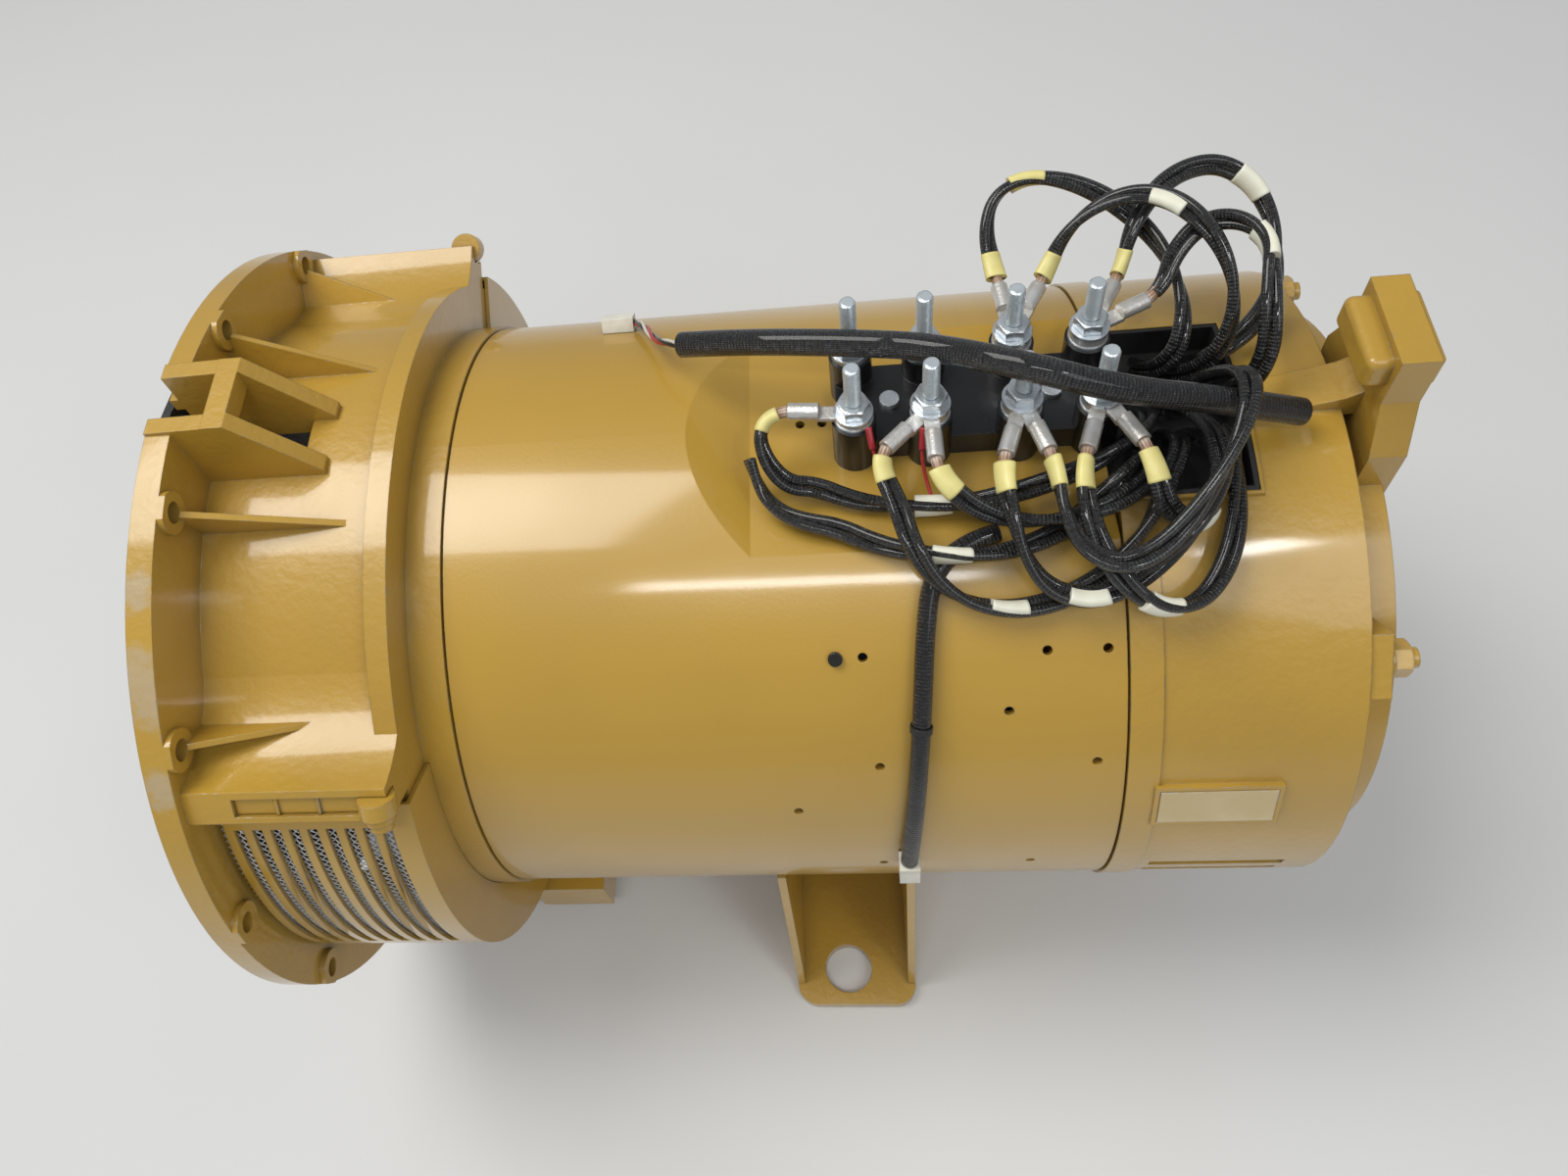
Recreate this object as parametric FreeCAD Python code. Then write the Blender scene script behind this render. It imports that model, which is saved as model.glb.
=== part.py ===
import FreeCAD, Part
import math
import os
from FreeCAD import Vector

# Brushless single-bearing alternator head. Millimetres.
# Origin at the centre of the drive flange's mating face.
# +X runs along the shaft from the drive end to the rear end, +Z is up.
# Angles are measured about the shaft from -Y, so 90 is straight up.

# Small clearances shared by the fits
spigot_clearance = 0.05
touch_gap = 0.02
fit_gap = 0.05
side_play = 0.5
part_gap = 0.3
seat_gap = 0.1

# How far joined forms reach into each other, and cutting forms past the surface
bite = 1.0
overrun = 1.0

# Drive flange, to the No. 1 flywheel housing pattern
flange_diameter = 552.4
flange_thickness = 16.0
flange_bore_radius = 222.0
flange_pcd = 530.225
flange_hole_count = 12
flange_hole_diameter = 13.0
flange_boss_radius = 13.0
flange_boss_height = 4.0
spigot_diameter = 511.1
spigot_length = 6.0
spigot_wall = 9.5

# Drive end housing behind the flange
saddle_radius = 225.0
saddle_wall = 12.0
saddle_end = 140.0
saddle_half_angle = 38.0
saddle_flare_lean = 2.0
wing_radius = 270.0
wing_half_angle = 50.5
wing_outer_half_angle = 55.0
wing_slot_depth = 12.0
wing_slot_width = 12.0
wing_slot_start = 46.0
wing_slot_half_angle = 52.8
end_ring_thickness = 14.0
end_ring_radius = 240.0
end_ring_bore_radius = 180.0
neck_radius = 208.5
housing_end = 161.8
strut_count = 5
strut_width = 16.0
strut_height = 16.0
strut_spread = 200.0
rib_width = 4.0
rib_length = 92.0
rib_outer_radius = 262.0
rib_root = 3.0
neck_bore_radius = 199.0
register_length = 8.0
register_bore_radius = 197.5
lug_length = 48.0
side_lug_width = 42.0
lug_offset = 150.0
lug_bottom = 244.0
lug_top = 196.0

# Lifting loop on top of the drive flange
loop_half_width = 26.0
loop_plate = 11.0
loop_height = 278.5
loop_front_run = 50.0
loop_length = 92.0
loop_bar_depth = 14.0
loop_bar_height = 15.0
loop_window_end = 76.0
loop_notch_radius = 228.0
loop_front_drop = 1.5
loop_tail_height = 3.0
loop_window_bottom = 200.0

# Louvred outlet cover and its screen
cover_radius = 249.0
cover_wall = 2.6
cover_start = 22.0
cover_end_plate = 3.0
cover_clearance = 1.0
slot_first_angle = 5.0
slot_pitch = 11.75
slot_width = 6.4
slot_count = 9
slot_first = 31.0
slot_bridge_angle = 5.0
slot_sectors = 6
mesh_thickness = 1.4
mesh_start = 17.0
mesh_edge_angle = 1.0
edge_strip_length = 76.0
edge_strip_thickness = 9.0
strip_mark_width = 2.0
strip_mark_height = 1.5
latch_radius = 11.0
latch_length = 20.0
latch_nose_radius = 9.0
latch_screw_radius = 7.0
latch_screw_head = 5.0
latch_socket_radius = 3.5
latch_socket_floor = 2.0

# Stator barrel
barrel_radius = 206.48
barrel_wall = 6.0
barrel_start = 162.8
barrel_rear_room = 43.0
flat_height = 190.0
flat_start = 350.0
flat_slope_start = 312.0
box_hole_radius = 2.8
box_screw_head_radius = 4.2
box_screw_head_height = 3.0
box_screw_place = (50, 395.9)
box_hole_places = [
    (50, 395.9), (50, 411.7), (50, 515.5), (50, 548.7),
    (40, 493.3), (30, 418.2), (30, 543.0), (20, 367.3), (0, 417.7), (0, 510.6),
]
flat_hole_places = [381.6, 395.2]

# Stator core and windings
core_radius = 182.0
core_bore_radius = 120.5
core_start = 226.0
core_length = 290.0
core_slot_count = 36
core_slot_depth = 30.0
core_slot_width = 9.0
bar_width = 16.0
bar_angles = [20, -20, -65, -115, 200, 160, 117, 63]
winding_outer_radius = 172.0
winding_inner_radius = 128.0
winding_overhang = 46.0

# Feet
shaft_height = 280.0
foot_centre = 391.0
foot_length = 96.0
foot_outer = 248.0
foot_inner = 118.0
foot_plate = 12.0
foot_web = 6.0
foot_corner_radius = 16.0
foot_hole_diameter = 38.0
foot_hole_spacing = 440.0
foot_hole_offset = -6.0
foot_web_top = -60.0
foot_web_tip_radius = 200.0
foot_wall_top = -144.0

# Rear housing
rear_joint = 1.2
rear_step_length = 18.3
rear_step = 1.6
rear_length = 127.8
rear_wall = 7.0
rear_band_radius = 178.0
rear_band_length = 24.0
rear_wall_thickness = 8.0
rear_band_wall = 8.0
rear_end_plate = 10.0
rear_plate_bore_radius = 74.0
rear_wall_bore_radius = 79.0
rear_hub_lead = 3.0
rear_hub_radius = 84.0
inlet_slot_count = 30
inlet_slot_width = 9.0
inlet_slot_offset = 25.8
inlet_slot_length = 82.0
inlet_first_angle = 4.0
inlet_last_angle = 87.0
pad_offset = 15.8
pad_length = 72.0
pad_angle = 20.0
pad_width = 34.0
pad_height = 3.0
plate_thickness = 1.0
plate_margin = 3.0
exit_reach = 75.8
exit_half_width = 60.0
exit_rim_width = 2.0
exit_rim_height = 3.0
exit_room = 20.0
exit_liner_wall = 3.0
exit_floor_height = 176.0
exit_liner_stand = 2.5

# Rear lifting horn
horn_offset = 8.0
horn_thickness = 20.0
horn_top = 268.0
horn_head_bottom = 233.0
horn_head_half_width = 30.0
horn_base_half_width = 44.0
horn_base_height = 150.0
horn_shoulder_drop = 32.0
horn_pad_front = 13.0
horn_pad_rear = 6.0
horn_pad_front_corner = 5.0
horn_pad_rear_corner = 3.0
horn_pad_half_width = 25.0
horn_pad_bottom = 240.0
horn_pad_top = 262.0
horn_rib_half_width = 13.0
horn_rib_offset = 91.8
horn_rib_height = 216.0
horn_rib_slope_run = 8.0
horn_rib_slope_rise = 6.0

# Tie rods
rod_radius = 6.0
rod_circle = 191.0
rod_count = 4
rod_tip = 5.0
ear_width = 38.0
ear_thickness = 12.0
ear_inner = 172.0
ear_outer = 204.0
washer_thickness = 2.5
washer_radius = 11.0
nut_across_flats = 19.0
nut_height = 10.0

# Shaft and rotor
shaft_radius = 45.0
shaft_start = -12.0
shaft_exciter_lead = 10.0
shaft_exciter_radius = 42.0
shaft_shoulder = 11.0
shaft_bearing_radius = 30.0
shaft_tail = 34.0
rotor_radius = 119.0
rotor_hub_radius = 72.0
rotor_coil_rise = 6.0
pole_count = 4
pole_half_width = 40.0
shoe_height = 100.0
coil_width = 21.0
coil_overhang = 16.0
fan_radius = 199.0
fan_hub_radius = 62.0
fan_start = 52.0
fan_end = 118.0
fan_plate = 5.0
fan_blade_count = 14
fan_blade_thickness = 4.0
fan_blade_inner = 92.0
fan_blade_inset = 3.0
fan_blade_setback = 10.0

# Coupling hub and flexible discs, to the No. 14 flywheel pattern
disc_diameter = 466.7
disc_face = -25.4
disc_pack = 6.0
disc_bore_radius = 50.0
disc_pcd = 438.15
disc_hole_count = 8
disc_hole_radius = 6.75
hub_flange_radius = 95.0
hub_flange_thickness = 16.0
hub_boss_radius = 68.0
hub_end = 42.0
clamp_ring_inner = 58.0
clamp_ring_outer = 92.0
clamp_ring_thickness = 6.0
hub_bolt_count = 8
hub_bolt_circle = 76.0
hub_bolt_radius = 6.0
hub_bolt_head_flats = 19.0
hub_bolt_head = 7.5
key_width = 22.0
key_height = 14.0
key_inset = 6.0
key_room = 0.1

# Bearing at the rear end
bearing_outer_radius = 65.0
bearing_width = 31.0
bearing_offset = 75.0
ball_radius = 11.0
ball_count = 8
race_shoulder = 9.0
cage_half_thickness = 3.0
cage_margin = 1.0
cap_radius = 92.0
cap_thickness = 8.0
cap_screw_count = 6
cap_screw_circle = 82.0
cap_screw_radius = 4.0
cap_screw_reach = 12.0
cap_screw_flats = 13.0
cap_screw_head = 5.5
cap_corner = 2.0

# Exciter and rectifier
exciter_offset = 41.0
exciter_length = 40.0
exciter_outer_radius = 150.0
exciter_bore_radius = 102.0
exciter_gap = 1.5
exciter_slot_depth = 20.0
exciter_slot_width = 26.0
exciter_coil_width = 24.0
exciter_coil_front = 6.0
exciter_coil_inset = 2.0
exciter_core_inset = 2.0
exciter_winding_front = 8.0
exciter_winding_rear = 5.0
exciter_winding_rim = 4.0
exciter_winding_depth = 28.0
exciter_pole_count = 8
pillar_count = 4
pillar_circle = 138.0
pillar_radius = 11.0
carrier_offset = 47.0
carrier_thickness = 8.0
carrier_radius = 96.0
diode_count = 6
diode_circle = 74.0
diode_radius = 9.0
diode_length = 12.0
diode_base_height = 5.0
diode_can_radius = 6.0

# Terminal block on the barrel's flat
block_centre_y = 12.0
block_row_spacing = 48.0
block_first_post = 414.6
post_pitch = 43.8
post_gap = 51.3
post_radius = 13.0
post_height = 37.0
block_base_height = 18.0
block_base_margin = 3.0
block_side_margin = 6.0
stud_depth = 27.0
stud_radius = 5.0
stud_core_radius = 4.5
stud_top = 274.0
stud_nut_flats = 17.0
stud_nut_height = 8.0
stud_washer_radius = 11.5
stud_washer_thickness = 2.2
lug_stack = 3.0
block_screw_radius = 3.0
block_screw_head_radius = 6.0
block_screw_head_height = 3.5

# Output leads, harnesses and what is fitted to them
lead_radius = 4.5
upper_harness_radius = 8.0
side_harness_radius = 5.5
tail_radius = 2.5
arc_share = 0.45
lug_width = 9.0
lug_palm_radius = 11.0
lug_crimp_start = 20.0
lug_reach = 38.0
lug_crimp_radius = 5.0
lug_crimp_rise = 4.0
marker_wall = 0.45
tie_length = 4.0
tie_wall = 0.9
tie_gap = 0.15
upper_connector = (247.0, 269.0, 206.6, 216.6, 12.0, 123.9)
side_connector = (427.0, 440.0, 207.0, 220.0, 23.6, 3.1)

# Cable lugs: post, place in the stack, and heading in the plan view from +X
lug_places = [
    (0, 0, 175), (1, 0, -135), (1, 1, -90), (2, 0, -110), (2, 1, -75), (3, 0, -110), (3, 1, -65),
    (6, 0, 95), (6, 1, 60), (7, 0, 60), (7, 1, 25),
]

# Centre lines of the cords, corner by corner; each corner is rounded with an arc
cord_routes = {
    "lead_1": [
        (376.7, -8.7, 233.3), (366, -9.5, 232.6), (358.8, -19.9, 227.4), (363.2, -33.8, 217.5),
        (374.4, -43.4, 207.4), (390.3, -42.8, 203.6), (411.3, -51.9, 200.4), (434, -57, 200.1),
        (457.2, -59.4, 201.4), (480.4, -59.2, 203.8), (503.5, -56.8, 207.1), (526.1, -52.2, 211.4),
        (548.1, -45.3, 215.8), (568.6, -34.4, 219.1), (582.4, -17.1, 214.4), (580, 0.4, 199.5),
        (574, 12, 186),
    ],
    "lead_2": [
        (352.5, -30, 218), (357, -45, 206.5), (369, -58, 201.1), (384, -65, 200.3),
        (401.9, -69.5, 199.7), (421.8, -80.8, 199), (442.8, -89.2, 201.5), (464, -94, 203.5),
        (485.9, -91.9, 199.3), (507.4, -86.8, 198.8), (527.9, -78.4, 201.1), (545.5, -65.6, 206.8),
        (562.3, -54.4, 216.7), (574.1, -38.5, 212.1), (572.7, -22.6, 198.6), (570, -12, 186),
    ],
    "lead_3": [
        (431.5, -38.9, 233.3), (426.6, -47.9, 231.9), (436.5, -69.6, 220.7), (442.3, -91.5, 213.4),
        (453.4, -107.2, 200.9), (471.4, -116, 188.8), (494.2, -118.8, 183.1), (517.9, -115.3, 182.7),
        (540.6, -106, 186.1), (560.9, -91.8, 193.7), (578.1, -71.3, 202.3), (591.3, -45.7, 209.5),
        (597.8, -31.7, 209.9), (596.9, -18.7, 199), (594, -12, 186),
    ],
    "lead_4": [
        (458.4, -50, 236.3), (460, -62, 234.3), (478.3, -73.6, 219.3), (501.5, -78.7, 211.5),
        (527.3, -78.7, 212), (553.2, -72.9, 214.8), (574.1, -56.3, 210.2), (583.5, -40.5, 203.9),
        (586.4, -23.9, 194.8), (582, -12, 186),
    ],
    "lead_5": [
        (496.7, -47.7, 233.3), (493.7, -59.5, 232.5), (497, -81.3, 224), (502.2, -99.6, 211.4),
        (514, -114.5, 198.9), (535.1, -120.2, 194.1), (557, -114.5, 196.7), (575.6, -106.1, 207.5),
        (591.6, -94.4, 219.5), (604.2, -76.3, 224.9), (612, -55, 227.8), (610.3, -32.5, 224.8),
        (604.3, -13, 214.4), (595.3, 1.7, 199), (587, 12, 186),
    ],
    "lead_6": [
        (519.5, -48.7, 236.3), (522.2, -61.2, 235.6), (523.8, -83.6, 228.7), (531.4, -104.7, 222.5),
        (550.8, -115.6, 221.7), (572.2, -106.6, 225.3), (589.2, -91.4, 233.3), (603.8, -73.6, 241.4),
        (616.1, -53.9, 249.1), (625.3, -32.3, 255.9), (626.5, -11.3, 248.7), (619.2, 1.6, 228.1),
        (609, 8.8, 205.3), (600, 12, 186),
    ],
    "lead_7": [
        (540.5, -47.7, 233.3), (536.7, -60.1, 232.7), (536.8, -83, 226), (542.9, -102.7, 215),
        (554.6, -120.8, 206.6), (572.3, -128.1, 193.8), (594.6, -122.4, 189.3), (610.6, -103.2, 195.9),
        (619.3, -78.5, 204.6), (623.4, -50, 210.3), (624.9, -33.2, 209.4), (621.7, -17.3, 201.1),
        (618, -12, 186),
    ],
    "lead_8": [
        (569.6, -46.4, 236.3), (574, -58.8, 234.6), (578.9, -81.9, 218.8), (599, -86.5, 209.5),
        (611.1, -65.4, 213.8), (615.3, -40.5, 214.5), (611.4, -19, 204.7), (606, -12, 186),
    ],
    "lead_9": [
        (506.4, 73.9, 233.3), (504.8, 86.2, 234.5), (500.7, 106.2, 246.8), (506.6, 125.5, 257.9),
        (526.6, 134.5, 263), (549.5, 131.2, 260.9), (570.3, 121.7, 255.8), (587.9, 108.5, 248.2),
        (600.5, 89.5, 243.4), (608.2, 68.4, 236.9), (610.2, 46.8, 228.5), (605.4, 29.1, 214.6),
        (592.6, 28.6, 196.9), (586, 42, 186),
    ],
    "lead_10": [
        (528.7, 68.9, 236.3), (534.4, 79.3, 237.8), (545, 93.7, 252.8), (561.9, 102.6, 264.9),
        (582.7, 103.2, 273.5), (602.7, 93.6, 276.1), (617.6, 76.9, 273), (628.2, 59.5, 263.1),
        (632.8, 41.9, 249.7), (630.4, 27.1, 233), (620.7, 19.5, 214.2), (607.7, 24.4, 196.8),
        (599, 36, 186),
    ],
    "lead_11": [
        (572.5, 68.9, 233.3), (578.2, 79.5, 235.2), (584.3, 95.3, 253.2), (597.3, 111.7, 263),
        (616, 125.1, 266.5), (638.3, 129.9, 264.9), (657.1, 120.5, 256.3), (666.5, 102.5, 245.2),
        (668.1, 81.5, 235.4), (662.8, 59.7, 227.6), (649.5, 40.4, 222), (630, 28.4, 214.3),
        (616.4, 31.1, 199.2), (612, 42, 186),
    ],
    "lead_12": [
        (587.9, 52.1, 236.3), (597.3, 58, 237.9), (605.3, 74.4, 252.8), (620.7, 84.2, 264.7),
        (638.4, 75.9, 273.3), (649.3, 57, 273.8), (646.3, 35.8, 269.9), (644, 16.3, 260.5),
        (643.5, 2.3, 243.3), (636.7, -4.5, 223.7), (625.3, 0.4, 206.8), (625.1, 17.8, 193.3),
        (625, 34, 186),
    ],
    "harness_upper": [
        (659.9, -24, 222), (607.8, -30, 248), (557, -35, 268), (507.6, -28.6, 286.1),
        (460.3, 6, 265.5), (416, 14.6, 263.2), (377, 24, 257), (341, 36, 246),
        (313, 45, 236),
    ],
    "harness_side": [
        (492, -76, 196.2), (473, -81, 196.3), (452.7, -97.8, 188.9), (447.3, -128.1, 170.1),
        (444.3, -155.8, 146.8), (441.3, -178.3, 118.4), (438.5, -194.7, 86.1), (435.5, -206.4, 52.1),
        (433.5, -212.2, 23.7),
    ],
    "harness_tail": [
        (312.5, 45.1, 235.8), (300, 56, 226), (290, 74, 210), (283, 92, 197.5),
        (276, 107, 186.5), (269.1, 117.9, 175.7),
    ],
}

# Printed sleeves on the leads: lead, and the corner that each one covers
marker_places = [
    ("lead_1", 1), ("lead_3", 1), ("lead_4", 1), ("lead_5", 1), ("lead_6", 1), ("lead_7", 1),
    ("lead_8", 1), ("lead_9", 1), ("lead_9", 4), ("lead_10", 1), ("lead_11", 1),
    ("lead_1", 8), ("lead_2", 7), ("lead_3", 6), ("lead_5", 5), ("lead_7", 5), ("lead_8", 3),
    ("lead_10", 5), ("lead_11", 6), ("lead_12", 5),
]
tie_run = 4

# Chamfer on hexagonal heads and nuts: share of the width across flats, and angle
crown_share = 0.48
crown_angle = 30.0

axis_x = Vector(1, 0, 0)
axis_z = Vector(0, 0, 1)
origin = Vector(0, 0, 0)


def rod(x0, x1, radius, y=0.0, z=0.0):
    """Cylinder along the shaft direction."""
    return Part.makeCylinder(radius, x1 - x0, Vector(x0, y, z), axis_x)


def ring(x0, x1, inner, outer):
    return rod(x0, x1, outer).cut(rod(x0 - overrun, x1 + overrun, inner))


def box(x0, x1, y0, y1, z0, z1):
    return Part.makeBox(x1 - x0, y1 - y0, z1 - z0, Vector(x0, y0, z0))


def polar(angle, radius, x=0.0):
    """Point at an angle about the shaft, counted from -Y upwards."""
    a = math.radians(angle)
    return Vector(x, -radius * math.cos(a), radius * math.sin(a))


def turned(shape, angle):
    """Copy of a shape built at the top, turned to an angle about the shaft."""
    copy = shape.copy()
    copy.rotate(origin, axis_x, 90 - angle)
    return copy


def radial_box(x0, x1, r0, r1, width, angle):
    return turned(box(x0, x1, -width / 2, width / 2, r0, r1), angle)


def arc(angle0, angle1, radius, x=0.0):
    middle = (angle0 + angle1) / 2
    return Part.Arc(polar(angle0, radius, x), polar(middle, radius, x), polar(angle1, radius, x)).toShape()


def line(a, b):
    return Part.LineSegment(a, b).toShape()


def sector(x0, x1, inner, outer, angle0, angle1):
    """Part of a ring between two angles."""
    edges = [
        arc(angle0, angle1, outer, x0),
        line(polar(angle1, outer, x0), polar(angle1, inner, x0)),
        arc(angle1, angle0, inner, x0),
        line(polar(angle0, inner, x0), polar(angle0, outer, x0)),
    ]
    return Part.Face(Part.Wire(edges)).extrude(Vector(x1 - x0, 0, 0))


def prism_y(points, y0, y1):
    """Outline in X and Z, extruded across the machine."""
    corners = [Vector(x, y0, z) for x, z in points]
    return Part.Face(Part.makePolygon(corners + corners[:1])).extrude(Vector(0, y1 - y0, 0))


def prism_x(points, x0, x1):
    """Outline in Y and Z, extruded along the shaft."""
    corners = [Vector(x0, y, z) for y, z in points]
    return Part.Face(Part.makePolygon(corners + corners[:1])).extrude(Vector(x1 - x0, 0, 0))


def around(count, first=0.0):
    return [first + 360.0 * i / count for i in range(count)]


def fuse_all(shapes):
    return shapes[0].multiFuse(shapes[1:]) if len(shapes) > 1 else shapes[0]


def hexagon(flats, height, base, direction):
    """Hexagonal head or nut standing on a point."""
    radius = flats / math.sqrt(3)
    corners = []
    for i in range(6):
        a = math.radians(60 * i)
        corners.append(Vector(radius * math.cos(a), radius * math.sin(a), 0))
    solid = Part.Face(Part.makePolygon(corners + corners[:1])).extrude(Vector(0, 0, height))
    crown = flats * crown_share
    drop = (radius - crown) * math.tan(math.radians(crown_angle))
    turned_form = Part.makeCylinder(radius, height - drop).fuse(
        Part.makeCone(radius, crown, drop, Vector(0, 0, height - drop), axis_z))
    solid = solid.common(turned_form)
    solid.Placement = FreeCAD.Placement(base, FreeCAD.Rotation(axis_z, direction))
    return solid


# Derived sizes
flange_radius = flange_diameter / 2
flange_hole_radius = flange_hole_diameter / 2
spigot_radius = spigot_diameter / 2
barrel_inner = barrel_radius - barrel_wall
flat_inner = flat_height - barrel_wall
core_end = core_start + core_length
barrel_end = core_end + barrel_rear_room
rear_start = barrel_end + rear_joint
rear_step_end = rear_start + rear_step_length
rear_end = rear_start + rear_length
rear_band_end = rear_end + rear_band_length
inlet_slot_start = rear_start + inlet_slot_offset
inlet_slot_end = inlet_slot_start + inlet_slot_length
pad_start = rear_start + pad_offset
pad_end = pad_start + pad_length
exit_end = rear_start + exit_reach
horn_front = rear_end + horn_offset
horn_rib_start = rear_start + horn_rib_offset
rod_end = rear_band_end + rod_tip
exciter_start = barrel_end + exciter_offset
shaft_main_end = exciter_start - shaft_exciter_lead
carrier_start = exciter_start + carrier_offset
bearing_start = exciter_start + bearing_offset
shaft_exciter_end = bearing_start - shaft_shoulder
shaft_end = bearing_start + shaft_tail
end_ring_start = saddle_end - end_ring_thickness
disc_back = disc_face + disc_pack
disc_radius = disc_diameter / 2
wing_low = 90 - wing_outer_half_angle
wing_high = 90 - wing_half_angle
wing_slot_angle = 90 - wing_slot_half_angle
wing_slot_end = saddle_end
flange_angles = around(flange_hole_count, 15.0)
saddle_rib_angles = [a for a in flange_angles if abs(a - 90) < saddle_half_angle + 10]
latch_x = wing_slot_start + edge_strip_length + latch_radius + 2 * part_gap
latch_reach = latch_length / 2
cover_low_angle = wing_low
cover_half_arc = 90 + cover_low_angle
slot_sector = (2 * cover_half_arc - 2 * slot_first_angle + slot_bridge_angle) / slot_sectors
slot_arc = slot_sector - slot_bridge_angle
cover_inner = cover_radius - cover_wall
cover_end = saddle_end + cover_end_plate + seat_gap
mesh_outer = cover_inner - cover_clearance
rod_angles = around(rod_count, 45.0)
rod_start = end_ring_start
row_low = block_centre_y - block_row_spacing / 2
row_high = block_centre_y + block_row_spacing / 2
post_xs = [block_first_post]
post_xs.append(post_xs[-1] + post_pitch)
post_xs.append(post_xs[-1] + post_gap)
post_xs.append(post_xs[-1] + post_pitch)
post_places = [(x, y) for y in (row_low, row_high) for x in post_xs]
post_top = flat_height + touch_gap + post_height
stud_bottom = post_top - stud_depth
shell_inner = barrel_radius - rear_wall
bearing_end = bearing_start + bearing_width
ball_circle = (bearing_outer_radius + shaft_bearing_radius) / 2
foot_hole_x = foot_centre + foot_hole_offset
exciter_end = exciter_start + exciter_length
exciter_armature_radius = exciter_bore_radius - exciter_gap


def flange_bosses():
    bosses = []
    for angle in flange_angles:
        centre = polar(angle, flange_pcd / 2)
        far = flange_thickness + flange_boss_height
        boss = rod(0, far, flange_boss_radius, centre.y, centre.z)
        bosses.append(boss.common(rod(-overrun, far + overrun, flange_radius)))
    return bosses


def flange_holes():
    holes = []
    for angle in flange_angles:
        centre = polar(angle, flange_pcd / 2)
        far = flange_thickness + flange_boss_height + overrun
        holes.append(rod(-overrun, far, flange_hole_radius, centre.y, centre.z))
    return holes


def saddle():
    """Closed top of the housing, flaring at both sides to the thick wings."""
    inner = saddle_radius - saddle_wall
    x0 = flange_thickness - bite
    low, high = 90 - saddle_half_angle, 90 + saddle_half_angle
    wing_inner = 180 - wing_low
    flare = (wing_radius + 2 * saddle_radius) / 3
    flare_angle = 90 - (saddle_half_angle + wing_half_angle) / 2 - saddle_flare_lean
    edges = [
        arc(low, high, saddle_radius, x0),
        Part.Arc(polar(high, saddle_radius, x0), polar(180 - flare_angle, flare, x0),
                 polar(180 - wing_high, wing_radius, x0)).toShape(),
        arc(180 - wing_high, wing_inner, wing_radius, x0),
        line(polar(wing_inner, wing_radius, x0), polar(wing_inner, inner, x0)),
        arc(wing_inner, wing_low, inner, x0),
        line(polar(wing_low, inner, x0), polar(wing_low, wing_radius, x0)),
        arc(wing_low, wing_high, wing_radius, x0),
        Part.Arc(polar(wing_high, wing_radius, x0), polar(flare_angle, flare, x0),
                 polar(low, saddle_radius, x0)).toShape(),
    ]
    return Part.Face(Part.Wire(edges)).extrude(Vector(saddle_end - x0, 0, 0))


def saddle_ribs():
    ribs = []
    for angle in saddle_rib_angles:
        outline = [
            (flange_thickness - bite, saddle_radius - rib_root),
            (flange_thickness - bite, rib_outer_radius),
            (flange_thickness + flange_boss_height, rib_outer_radius),
            (flange_thickness + rib_length, saddle_radius),
            (flange_thickness + rib_length, saddle_radius - rib_root),
        ]
        ribs.append(turned(prism_y(outline, -rib_width / 2, rib_width / 2), angle))
    return ribs


def lifting_loop():
    foot = saddle_radius - saddle_wall + bite
    outline = [
        (0, foot),
        (0, loop_height - loop_front_drop),
        (loop_front_run, loop_height),
        (loop_length, saddle_radius + loop_tail_height),
        (loop_length, foot),
    ]
    inner = loop_half_width - loop_plate
    near = prism_y(outline, -loop_half_width, -inner)
    far = prism_y(outline, inner, loop_half_width)
    bar = box(loop_front_run - loop_bar_depth, loop_front_run, -loop_half_width, loop_half_width,
              loop_height - loop_bar_height, loop_height)
    return [near, far, bar]


def struts():
    first = 90 + 180 - strut_spread / 2
    step = strut_spread / (strut_count - 1)
    inner = end_ring_radius - strut_height
    top = end_ring_radius - bite
    x0 = flange_thickness - bite
    angles = [first + step * i for i in range(strut_count)]
    return [radial_box(x0, end_ring_start + bite, inner, top, strut_width, a) for a in angles]


def side_lugs():
    lugs = []
    for side in (-1, 1):
        y0 = side * lug_offset - side_lug_width / 2
        x1 = saddle_end + lug_length
        lugs.append(box(end_ring_start + bite, x1, y0, y0 + side_lug_width, -lug_bottom, -lug_top))
    return lugs


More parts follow.
